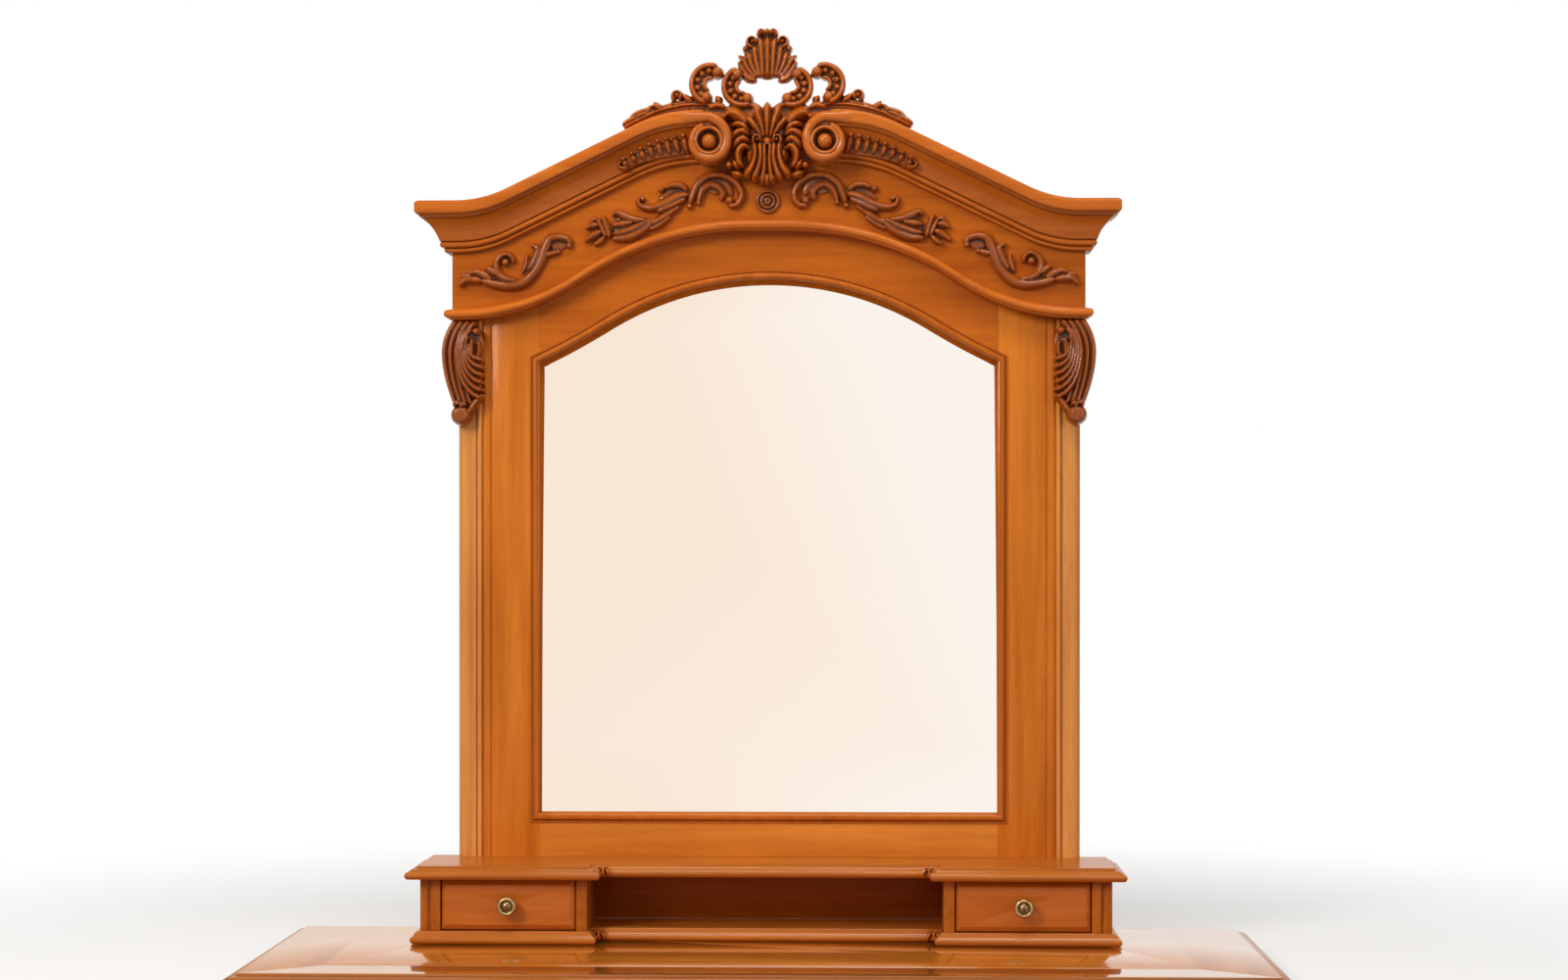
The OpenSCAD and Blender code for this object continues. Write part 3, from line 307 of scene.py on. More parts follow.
def lacquered(name, pale, deep, grain, figure=0.35, fibre=5.0, rough=0.32, coat=0.14, coat_rough=0.12,
              specular=0.12, rub=0.10, glaze=0.8, shift=(0.0, 0.0, 0.0)):
    # Stained wood under clear lacquer: the grain's axis, its colours, how glossy the coat is, and how
    # strong its painted highlights on eased edges and its painted shade in hollows are
    material, tree, shader, where = new_material(name)
    turned = linked(tree, "ShaderNodeMapping", Vector=where, Rotation=grain_turns[grain], Location=shift)
    wood = grouped(tree, wood_grain, Vector=turned.outputs["Vector"], Pale=(*pale, 1.0), Deep=(*deep, 1.0),
                   Figure=figure, Fibre_Width=fibre * mm, Gloss_Roughness=rough)
    worn = grouped(tree, rubbed_and_glazed, Color=wood["Color"], Rub=rub, Glaze=glaze,
                   Glaze_Color=glaze_brown)
    relief = linked(tree, "ShaderNodeBump", Strength=0.12, Distance=0.0003, Height=wood["Height"])
    filled(tree, shader, Base_Color=worn["Color"], Roughness=wood["Roughness"],
           Normal=relief.outputs["Normal"], Specular_IOR_Level=specular,
           Specular_Tint=(1.0, 0.72, 0.42, 1.0), Coat_Weight=coat, Coat_Roughness=coat_rough)
    return material


def placed(name, mesh, material, body, slot_name, *nodes):
    # A finished mesh becomes a piece: linked, painted, riding on its body and standing for its nodes
    piece = bpy.data.objects.new(name, mesh)
    bpy.context.scene.collection.objects.link(piece)
    mesh.materials.clear()
    mesh.materials.append(material)
    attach(piece, body)
    if nodes:
        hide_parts(*nodes)


def welded(mesh, gap):
    # A mesh opened for editing, its corners joined where they lie closer than the gap
    shape = bmesh.new()
    shape.from_mesh(mesh)
    bmesh.ops.remove_doubles(shape, verts=shape.verts, dist=gap)
    return shape


def shaded(mesh, shape, smooth):
    # The edited shape written back into its mesh, smooth but for edges sharper than the angle
    shape.to_mesh(mesh)
    shape.free()
    mesh.shade_smooth()
    mesh.set_sharp_from_angle(angle=math.radians(smooth))
    return mesh


node_weld = 0.002 * mm
flat_angle = math.radians(0.5)


def softened(node, width, smooth=30.0):
    # A board of the node's exact shape with its sharp arrises eased by a small round
    shape = welded(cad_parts[node].data, node_weld)
    bmesh.ops.dissolve_limit(shape, angle_limit=flat_angle, verts=shape.verts, edges=shape.edges)
    for edge in shape.edges:
        edge.smooth = True
    sharp = [e for e in shape.edges
             if len(e.link_faces) == 2 and e.calc_face_angle(0.0) > math.radians(smooth)]
    eased = bmesh.ops.bevel(shape, geom=sharp, offset=width * mm, segments=2, profile=0.5,
                            affect="EDGES", clamp_overlap=True)
    # The eased rounds are marked for a painted highlight, a paler colour standing in for the light they catch
    arris = shape.faces.layers.float.new("arris")
    for face in eased["faces"]:
        if face.is_valid:
            face[arris] = 1.0
    return shaded(bpy.data.meshes.new(node + "_wood"), shape, smooth)


def board(name, node, ease, material, slot_name, body="hutch", **form):
    # A piece that keeps its node's own shape, with eased arrises
    placed(name, softened(node, ease, **form), material, body, slot_name, node)


field_gloss = dict(figure=0.55, fibre=7.0, rough=0.16, coat=0.9, coat_rough=0.035, specular=0.4, rub=0.0)
field_wood = lacquered("top_field_wood", (0.64, 0.215, 0.026), (0.38, 0.100, 0.009), "X", **field_gloss)
border_colours = ((0.54, 0.180, 0.024), (0.32, 0.086, 0.008))
edge_colours = ((0.46, 0.140, 0.018), (0.28, 0.070, 0.007))
edge_gloss = dict(coat=0.45, coat_rough=0.05)
front_border_wood = lacquered("front_border_wood", *border_colours, "X", shift=(0.4, 0.9, 0.0), **field_gloss)
side_border_wood = lacquered("side_border_wood", *border_colours, "Y", shift=(0.2, 0.1, 0.3), **field_gloss)
front_edge_wood = lacquered("front_edge_wood", *edge_colours, "X", **edge_gloss)
side_edge_wood = lacquered("side_edge_wood", *edge_colours, "Y", **edge_gloss)
board("top_field", "top_panel", 0.25, field_wood, "top_wood")
for side in ("front", "left", "right"):
    border_wood = front_border_wood if side == "front" else side_border_wood
    edge_wood = front_edge_wood if side == "front" else side_edge_wood
    board(f"top_{side}_border", f"{side}_border", 0.25, border_wood, "border_wood")
    board(f"top_{side}_moulding", f"{side}_top_edge", 0.6, edge_wood, "border_wood", smooth=40.0)


# ---- Gallery ----
# The low break-front case on the table top: a moulded base board and a moulded shelf hold short
# case sides, with a thin stained back, and leave an open niche in the middle. Screwed from below.

base_low, base_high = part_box("base_board")
shelf_low, shelf_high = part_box("shelf")
case_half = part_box("right_case_outer_side")[1].x
niche_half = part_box("right_case_inner_side")[0].x
case_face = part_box("right_drawer_front")[0].y
middle_face = case_face + 38 * mm
frame_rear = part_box("right_case_outer_side")[1].y


def arc(centre, radius, first, last, steps):
    # Points round part of a circle, angles in degrees
    angles = np.radians(np.linspace(first, last, steps + 1))
    return [(centre[0] + radius * math.cos(a), centre[1] + radius * math.sin(a)) for a in angles]


sweep_weld = 0.001 * mm


def swept_mesh(name, rings, closed=False, smooth=35.0, dark_at=None):
    # Skin over rings of points; the ends are capped unless the sweep closes on itself. The given
    # function says how much painted shade a point of the skin holds
    count = len(rings[0])
    points = [p for ring in rings for p in ring]
    faces = []
    for i in range(len(rings) if closed else len(rings) - 1):
        here = i * count
        there = (i + 1) % len(rings) * count
        for j in range(count):
            k = (j + 1) % count
            faces.append((here + j, here + k, there + k, there + j))
    if not closed:
        faces.append(tuple(range(count - 1, -1, -1)))
        faces.append(tuple(range((len(rings) - 1) * count, len(rings) * count)))
    mesh = bpy.data.meshes.new(name)
    mesh.from_pydata([tuple(p) for p in points], [], faces)
    shape = welded(mesh, sweep_weld)
    bmesh.ops.recalc_face_normals(shape, faces=shape.faces)
    if dark_at is not None:
        layer = shape.verts.layers.float.new("hollow")
        for vertex in shape.verts:
            vertex[layer] = dark_at(vertex.co)
    return shaded(mesh, shape, smooth)


def moulded(name, rings, material, *nodes, **form):
    # A swept piece of the fixed woodwork
    placed(name, swept_mesh(name, rings, **form), material, "hutch", "lacquered_wood", *nodes)


def break_front(reach_out, z):
    # Outline of a gallery board whose middle is set back, moved outwards by reach_out
    c = case_half + reach_out
    n = niche_half - reach_out
    front = case_face - reach_out
    middle = middle_face - reach_out
    return [(-c, frame_rear, z), (-c, front, z), (-n, front, z), (-n, middle, z),
            (n, middle, z), (n, front, z), (c, front, z), (c, frame_rear, z)]


def raised(corner, points):
    # Points of a board's section, their heights counted from the board's corner
    return [(out, corner.z + up * mm) for out, up in points]


base_nose = 12.0
base_profile = (raised(base_low, [(base_nose - 4, 0.0), (base_nose - 3, 0.2)]
                       + arc((base_nose - 5, 5), 5, -60, 50, 8) + arc((base_nose + 6, 17), 12, 222, 194, 6))
                + raised(base_high, [(4.0, -2.0), (3.6, -0.4), (3.2, 0.0)]))
shelf_nose = 18.0
shelf_profile = (raised(shelf_low, [(shelf_nose - 7, 0.0), (shelf_nose - 2.6, 0.8)]
                        + arc((shelf_nose - 4.5, 5.5), 4.5, -46, 56, 9) + [(shelf_nose - 3.4, 10.0)]
                        + arc((shelf_nose - 15.5, -1), 15.3, 46, 76, 6))
                 + raised(shelf_high, [(3.6, -2.4), (3.4, -0.3), (3.0, 0.0)]))
gallery_wood = lacquered("gallery_wood", (0.565, 0.172, 0.022), (0.345, 0.085, 0.008), "X", figure=0.3,
                         coat=0.40, coat_rough=0.06)
for name, section, node in (("base_moulding", base_profile, "base_board"),
                            ("shelf_moulding", shelf_profile, "shelf")):
    moulded(name, [break_front(out * mm, z) for out, z in section], gallery_wood, node)

case_wood = lacquered("case_wood", (0.55, 0.160, 0.018), (0.32, 0.072, 0.006), "Y", figure=0.3)
case_stile_wood = lacquered("case_stile_wood", (0.58, 0.165, 0.018), (0.34, 0.076, 0.006), "Z", figure=0.25)
niche_wood = lacquered("niche_back_wood", (0.480, 0.115, 0.009), (0.300, 0.060, 0.004), "X", figure=0.3,
                       rough=0.42, coat=0.06, coat_rough=0.2)
for side in ("left", "right"):
    for part in ("outer", "inner"):
        board(f"{side}_{part}_case_board", f"{side}_case_{part}_side", 0.5, case_wood, "lacquered_wood")
    board(f"{side}_case_post", f"{side}_case_stile", 0.6, case_stile_wood, "lacquered_wood")
board("gallery_back_board", "gallery_back", 0.4, niche_wood, "dark_wood")


# ---- Drawers ----
# Two small jewellery drawers run on hardwood strips: a fielded front of the case's wood, thin pale
# sides and back grooved for a bottom panel, and a turned knob held by a screw from inside.

bare_wood = lacquered("drawer_box_wood", (0.66, 0.40, 0.17), (0.50, 0.27, 0.10), "Y", figure=0.2,
                      rough=0.5, coat=0.05, rub=0.05)
drawer_face_wood = lacquered("drawer_face_wood", (0.66, 0.185, 0.022), (0.42, 0.092, 0.008), "X",
                             figure=0.35, coat=0.32, coat_rough=0.07, glaze=1.0)
for part in ("runners", "stops"):
    board(f"drawer_guide_{part}", f"drawer_{part}", 0.3, bare_wood, "drawer_wood")


def metal(name, colour, rough, tarnish):
    # Plated or polished metal with finger-dulled patches and darker tarnish in them
    material, tree, shader, where = new_material(name)
    patches = linked(tree, "ShaderNodeTexNoise", Vector=where, Scale=180.0, Detail=5.0,
                     Roughness=0.6).outputs["Fac"]
    toned = blended(tree, patches, (*colour, 1.0), (*[c * tarnish for c in colour], 1.0))
    # Painted highlights on its eased edges and painted shade in its grooves, over the tarnished colour
    worn = grouped(tree, rubbed_and_glazed, Color=toned, Rub=0.3, Glaze=0.85,
                   Glaze_Color=(0.035, 0.022, 0.012, 1.0))
    filled(tree, shader, Base_Color=worn["Color"], Metallic=1.0,
           Roughness=ranged(tree, patches, 0.0, 1.0, rough, rough + 0.18))
    return material


knob_brass = metal("aged_brass", (0.56, 0.40, 0.20), 0.22, 0.55)
screw_steel = metal("screw_steel", (0.55, 0.54, 0.52), 0.30, 0.7)


def turned_mesh(name, profile, centre, grooves):
    # Profile of (radius, forward) points turned round an axis that points to the front. Each band
    # puts painted shade near its radius, within its width, forward of its depth
    rings = []
    for radius, forward in profile:
        rings.append([(centre.x + radius * mm * math.cos(a), centre.y - forward * mm,
                       centre.z + radius * mm * math.sin(a))
                      for a in np.linspace(0.0, 2 * math.pi, 48, endpoint=False)])

    def in_groove(point):
        radius = math.hypot(point.x - centre.x, point.z - centre.z) / mm
        forward = (centre.y - point.y) / mm
        return max([0.0] + [1.0 - abs(radius - r) / w for r, w, f in grooves
                            if abs(radius - r) < w and forward > f])

    return swept_mesh(name, rings, smooth=50.0, dark_at=in_groove)


knob_profile = ([(0.05, 0.0), (6.9, 0.0), (7.0, 0.4), (7.0, 1.6), (6.4, 2.2), (5.2, 3.6), (4.8, 6.0),
                 (5.2, 9.0)]
                + arc((9.6, 16.2), 2.9, -125, -20, 7) + arc((9.7, 17.0), 2.75, -10, 120, 8)
                + [(7.8, 18.4), (7.4, 17.6), (6.9, 17.5), (6.5, 18.0)]
                + arc((0.0, 12.2), 8.75, 44, 89.5, 8))
# Painted shade in the knob's groove and round its narrow neck, and a painted dark reflection on the middle of
# its dome: each band's radius, half width and how far forward it starts
knob_grooves = ((7.2, 1.1, 15.0), (4.9, 1.2, 2.0), (0.0, 8.0, 18.5))
for side in ("left", "right"):
    body = f"{side}_drawer"
    board(f"{side}_drawer_face", f"{side}_drawer_front", 0.7, drawer_face_wood, "lacquered_wood", body)
    for part in ("sides", "back", "bottom"):
        board(f"{side}_drawer_box_{part}", f"{side}_drawer_{part}", 0.4, bare_wood, "drawer_wood", body)
    knob_low, knob_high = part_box(f"{side}_knob")
    seat = Vector(((knob_low.x + knob_high.x) / 2, knob_high.y, (knob_low.z + knob_high.z) / 2))
    placed(f"{side}_turned_knob", turned_mesh(f"{side}_turned_knob", knob_profile, seat, knob_grooves),
           knob_brass, body, "brass", f"{side}_knob")
    board(f"{side}_knob_fixing", f"{side}_knob_screw", 0.3, screw_steel, "steel", body)


# ---- Mirror frame ----
# A flat frame of two stiles, a bottom rail and an arched top rail, joined flush, with half-round
# pilasters glued to its outer edges and two long battens screwed to its back and the gallery.

frame_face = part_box("bottom_rail")[0].y
frame_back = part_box("bottom_rail")[1].y
frame_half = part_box("right_pilaster")[1].x
sight_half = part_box("bottom_rail")[1].x
stile_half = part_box("right_stile")[1].x
pilaster_low, pilaster_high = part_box("right_pilaster")
stile_wood = lacquered("stile_wood", (0.78, 0.235, 0.026), (0.45, 0.110, 0.007), "Z", figure=0.25,
                       glaze=1.0)
top_rail_wood = lacquered("top_rail_wood", (0.71, 0.180, 0.015), (0.40, 0.080, 0.004), "X", figure=0.4)
bottom_rail_wood = lacquered("bottom_rail_wood", (0.83, 0.280, 0.040), (0.50, 0.140, 0.012), "X", figure=0.4)
pilaster_wood = lacquered("pilaster_wood", (0.86, 0.370, 0.092), (0.54, 0.182, 0.034), "Z", figure=0.2,
                          coat=0.32, coat_rough=0.08, glaze=0.9)
for side in ("left", "right"):
    board(f"{side}_frame_stile", f"{side}_stile", 0.5, stile_wood, "lacquered_wood")
board("frame_bottom_rail", "bottom_rail", 0.4, bottom_rail_wood, "lacquered_wood")
board("frame_top_rail", "top_rail", 0.4, top_rail_wood, "lacquered_wood")

# Pilaster section from the stile outwards: a bead, a quirk, a cove and a broad round corner
pilaster_width = (frame_half - stile_half) / mm
round_corner = 13.0
pilaster_depth = (frame_back - pilaster_low.y) / mm
frame_depth = (frame_back - frame_face) / mm
pilaster_section = ([(0.0, 0.0), (0.0, frame_depth)]
                    + arc((3.0, frame_depth), 3.0, 180, 0, 8)
                    + [(6.4, frame_depth - 0.2), (7.4, frame_depth - 0.2), (7.8, frame_depth + 1.0)]
                    + [(9.0, frame_depth + 0.4), (12.0, frame_depth + 0.5), (14.4, frame_depth + 1.2),
                       (16.0, frame_depth + 2.4)]
                    + arc((pilaster_width - round_corner, pilaster_depth - round_corner), round_corner,
                          88, 0, 12)
                    + [(pilaster_width, 0.0)])
# Painted shade along the pilaster's quirk: how far out from the stile it lies, and its half width
quirk_at = 7.0
quirk_glaze = 1.2


def in_quirk(point):
    return max(0.0, 1.0 - abs((abs(point.x) - stile_half) / mm - quirk_at) / quirk_glaze)


for side, sign in (("left", -1.0), ("right", 1.0)):
    rings = [[(sign * (stile_half + u * mm), frame_back - v * mm, z) for u, v in pilaster_section]
             for z in (pilaster_low.z, pilaster_high.z)]
    moulded(f"{side}_pilaster_column", rings, pilaster_wood, f"{side}_pilaster", smooth=40.0,
            dark_at=in_quirk)
    board(f"{side}_back_batten", f"{side}_batten", 0.8, bare_wood, "drawer_wood")


# ---- Mirror ----
# Silvered glass lies in the frame's rebate with a hardboard sheet behind it, held by small turn
# clips and screws. A rounded bead, glued on the frame's face, runs round the opening.

crown_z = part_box("sight_bead")[1].z - 13 * mm
sill_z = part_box("bottom_rail")[1].z
arch_bend = 215.0
arch_end = 2.27 * sight_half / mm
arch_slope = 31.6


def swan(x, flat, bend, straight, end, slope):
    # Drop of a curve that is level in the middle, bends down, runs straight and levels out again
    slope = math.radians(slope)
    x = abs(x)
    upper = (bend - flat) / math.sin(slope)
    lower = (end - straight) / math.sin(slope)
    first_drop = upper * (1 - math.cos(slope))
    run_drop = first_drop + (straight - bend) * math.tan(slope)
    whole_drop = run_drop + lower * (1 - math.cos(slope))
    if x <= flat:
        return 0.0
    if x <= bend:
        return upper - math.sqrt(upper ** 2 - (x - flat) ** 2)
    if x <= straight:
        return first_drop + (x - bend) * math.tan(slope)
    if x < end:
        return whole_drop - (lower - math.sqrt(lower ** 2 - (end - x) ** 2))
    return whole_drop


def arch_z(x):
    return crown_z - swan(x / mm, 0.0, arch_bend, arch_bend, arch_end, arch_slope) * mm


def sight_loop(offset, steps=72):
    # The mirror opening's outline moved outwards, anticlockwise from its lower left corner
    loop = [Vector((-sight_half, sill_z)), Vector((sight_half, sill_z))]
    loop += [Vector((x, arch_z(x))) for x in np.linspace(sight_half, -sight_half, steps + 1)]
    moved = []
    for i, point in enumerate(loop):
        before = (point - loop[i - 1]).normalized()
        after = (loop[(i + 1) % len(loop)] - point).normalized()
        out_before = Vector((before.y, -before.x))
        out_after = Vector((after.y, -after.x))
        mitre = (out_before + out_after).normalized()
        moved.append(point + mitre * offset / max(0.5, mitre.dot(out_before)))
    return moved


def round_opening(section):
    # Rings of a section of (out, forward) points swept once round the opening
    loops = [[(p.x, frame_face - proud * mm, p.y) for p in sight_loop(out * mm)] for out, proud in section]
    return [list(ring) for ring in zip(*loops)]


# Painted shade on the bead's low parts, close to the frame's face
def bead_hollow(point):
    return max(0.0, 1.0 - (frame_face - point.y) / (0.9 * mm))


# Bead section: a step at the glass, the round, then a quirk and a small outer fillet. The step, the quirk
# and the fillet's outer foot hold painted shade
bead_section = ([(0.4, -0.6), (0.4, 0.8)] + arc((4.9, 0.9), 4.0, 172, 8, 10)
                + [(9.2, 0.5), (10.2, 0.3), (10.5, 1.2), (11.0, 1.5), (12.4, 1.4), (12.8, 0.9), (12.9, -0.6)])
bead_wood = lacquered("bead_wood", (0.58, 0.150, 0.016), (0.40, 0.086, 0.006), "Z", figure=0.15,
                      coat=0.10, coat_rough=0.16, glaze=0.95)
moulded("sight_bead_moulding", round_opening(bead_section), bead_wood, "sight_bead", closed=True,
        smooth=45.0, dark_at=bead_hollow)

# The opening's inner edge, down to the glass, is stained like the face but left matt
glass_depth = (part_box("mirror_glass")[0].y - frame_face) / mm
edge_section = [(-0.25, -0.3), (0.02, -0.3), (0.02, 0.1 - glass_depth), (-0.25, 0.1 - glass_depth)]
sight_edge_wood = lacquered("sight_edge_wood", (0.52, 0.140, 0.014), (0.34, 0.080, 0.006), "Z",
                            figure=0.15, rough=0.8, coat=0.0, specular=0.0)
moulded("stained_sight_edge", round_opening(edge_section), sight_edge_wood, closed=True)


def mirror_silver():
    # Clean silvered glass: a bright metal reflection with a trace of haze from wiping
    material, tree, shader, where = new_material("mirror_silver")
    wiped = linked(tree, "ShaderNodeTexNoise", Vector=where, Scale=4.0, Detail=4.0,
                   Roughness=0.6).outputs["Fac"]
    tint = blended(tree, wiped, (0.965, 0.975, 0.970, 1.0), (0.985, 0.990, 0.985, 1.0))
    filled(tree, shader, Base_Color=tint, Metallic=1.0,
           Roughness=ranged(tree, wiped, 0.0, 1.0, 0.012, 0.032))
    return material


def hardboard():
    # Pressed brown fibre sheet with a fine mottled surface
    material, tree, shader, where = new_material("hardboard_sheet")
    mottle = linked(tree, "ShaderNodeTexNoise", Vector=where, Scale=260.0, Detail=6.0,
                    Roughness=0.7).outputs["Fac"]
    clouds = linked(tree, "ShaderNodeTexNoise", Vector=where, Scale=7.0, Detail=2.0).outputs["Fac"]
    spread = ranged(tree, calculated(tree, "MULTIPLY", mottle, clouds), 0.15, 0.38)
    relief = linked(tree, "ShaderNodeBump", Strength=0.3, Distance=0.0004, Height=mottle)
    filled(tree, shader, Normal=relief.outputs["Normal"], Roughness=0.7,
           Base_Color=blended(tree, spread, (0.150, 0.075, 0.035, 1.0), (0.270, 0.150, 0.075, 1.0)))
    return material


board("silvered_glass", "mirror_glass", 0.3, mirror_silver(), "mirror")
board("backing_sheet", "mirror_backboard", 0.3, hardboard(), "hardboard")
board("turn_clips", "backboard_clips", 0.4, screw_steel, "steel")


# ---- Pediment ----
# The arched frieze board is glued across the top of the frame. A half-round neck bead follows its
# lower edge, and two swan-neck cornice mouldings rise to carved volutes and return at the ends.

neck_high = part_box("neck_bead")[1]
frieze_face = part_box("inner_sprays")[1].y
neck_tall = 14.0
neck_z = neck_high.z - neck_tall * mm
neck_top_z = neck_high.z
crown_top_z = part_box("right_cornice")[1].z
frieze_half = frame_half + 5 * mm
curve_end = frame_half / mm - 4.0


def neck_line(x):
    return neck_z - swan(x / mm, 25.0, 250.0, 250.0, curve_end, 33.8) * mm


def cornice_line(x):
    return crown_top_z - swan(x / mm, 90.0, 172.0, 342.0, curve_end, 26.0) * mm


def with_returns(section, line, left_return):
    # Rings of (out, down) sections along (x, z) points, mitred back along the frieze's right end,
    # and along its left end too if left_return
    def ring(x, z, turn, y):
        return [(x + turn * out * mm, y - (0.0 if turn and y == frame_back else out * mm), z - down * mm)
                for out, down in section]

    rings = []
    if left_return:
        rings += [ring(-frieze_half, line[0][1], -1, y) for y in (frame_back, frieze_face)]
    else:
        rings.append(ring(*line[0], 0, frieze_face))
    rings += [ring(x, z, 0, frieze_face) for x, z in line[1:-1]]
    return rings + [ring(frieze_half, line[-1][1], 1, y) for y in (frieze_face, frame_back)]


frieze_wood = lacquered("frieze_wood", (0.66, 0.168, 0.011), (0.36, 0.066, 0.003), "X", figure=0.3,
                        shift=(0.3, 0.2, 0.5))
board("frieze_face_board", "frieze_board", 0.5, frieze_wood, "lacquered_wood")

neck_profile = ([(0.0, 0.0), (3.0, 0.0), (3.6, 1.0)] + arc((4.6, 6.4), 5.6, -98, 98, 14)
                + [(3.4, 12.6), (3.6, 13.4), (2.8, neck_tall), (0.0, neck_tall)])
neck_points = [(x, neck_line(x) + neck_tall * mm) for x in np.linspace(-frieze_half, frieze_half, 121)]


# Painted shade where the neck bead runs into the frieze's face
def neck_hollow(point):
    return max(0.0, 1.0 - (frieze_face - point.y) / (3.9 * mm)) if abs(point.x) < frieze_half else 0.0


moulding_wood = lacquered("moulding_wood", (0.68, 0.180, 0.018), (0.45, 0.092, 0.006), "X", figure=0.25,
                          coat=0.28, coat_rough=0.08, glaze=0.75)
moulded("neck_moulding", with_returns(neck_profile, neck_points, True), moulding_wood, "neck_bead",
        smooth=50.0, dark_at=neck_hollow)

# Cornice section, out from the frieze and down from the crown: an eased fascia, a fillet darkened with
# painted shade, the big cove, and two beads where it meets the frieze
cornice_out = 44.0
cornice_tall = 66.0
cornice_profile = ([(0.0, 0.0), (cornice_out - 6, 0.0), (cornice_out - 4, 0.4), (cornice_out - 2, 1.6)]
                   + arc((cornice_out - 4, 5.0), 4.0, -30, 0, 3)
                   + [(cornice_out, 14.6), (cornice_out - 0.8, 16.4), (cornice_out - 3, 17.2),
                      (cornice_out - 3.4, 18.6), (cornice_out - 6, 19.0), (cornice_out - 6.2, 21.4),
                      (cornice_out - 9.4, 22.0)]
                   + [((1 - t) ** 2 * (cornice_out - 10) + 2 * t * (1 - t) * 19.6 + t ** 2 * 14.6,
                       (1 - t) ** 2 * 22.6 + 2 * t * (1 - t) * 35.0 + t ** 2 * 51.0)
                      for t in np.linspace(0, 1, 13)]
                   + [(12.6, 51.6)] + arc((10.6, 55.4), 3.8, -75, 80, 9)
                   + [(9.6, 59.8)] + arc((6.4, 62.6), 2.8, -60, 60, 6)
                   + [(5.6, cornice_tall), (0.0, cornice_tall)])
# Where painted shade lies along the fillets and quirks, as distances down and half widths
dark_fillets = ((18.0, 1.6), (21.9, 1.3), (51.6, 1.6), (60.0, 1.2), (65.6, 0.8))
# The moulding runs in behind its volute, where it sinks back a little to stay hidden
cornice_inner = 84 * mm
sink_from = 126 * mm
sink_run = 40 * mm
sink_depth = 3.8 * mm


# Painted shade along the fillets and quirks of the cornice
def cornice_hollow(point):
    down = (cornice_line(min(abs(point.x), frieze_half)) - point.z) / mm
    return max([0.0] + [0.85 * (1.0 - abs(down - d) / w) for d, w in dark_fillets if abs(down - d) < w])


cornice_points = [(x, cornice_line(x)) for x in np.linspace(cornice_inner, frieze_half, 73)]
cornice_rings = with_returns(cornice_profile, cornice_points, False)
sinks = [sink_depth * max(0.0, min(1.0, (sink_from - ring[0][0]) / sink_run)) ** 2 for ring in cornice_rings]
for side, sign in (("left", -1.0), ("right", 1.0)):
    rings = [[(sign * x, y + back, z) for x, y, z in ring] for ring, back in zip(cornice_rings, sinks)]
    moulded(f"{side}_cornice_moulding", rings, moulding_wood, f"{side}_cornice", smooth=40.0,
            dark_at=cornice_hollow)


# ---- Volutes ----
# Each cornice ends in a carved scroll: its fascia rolls round a domed eye on a sunk ground, inside
# a thin raised rim. Cut from a thick block and glued to the frieze against the moulding's end.


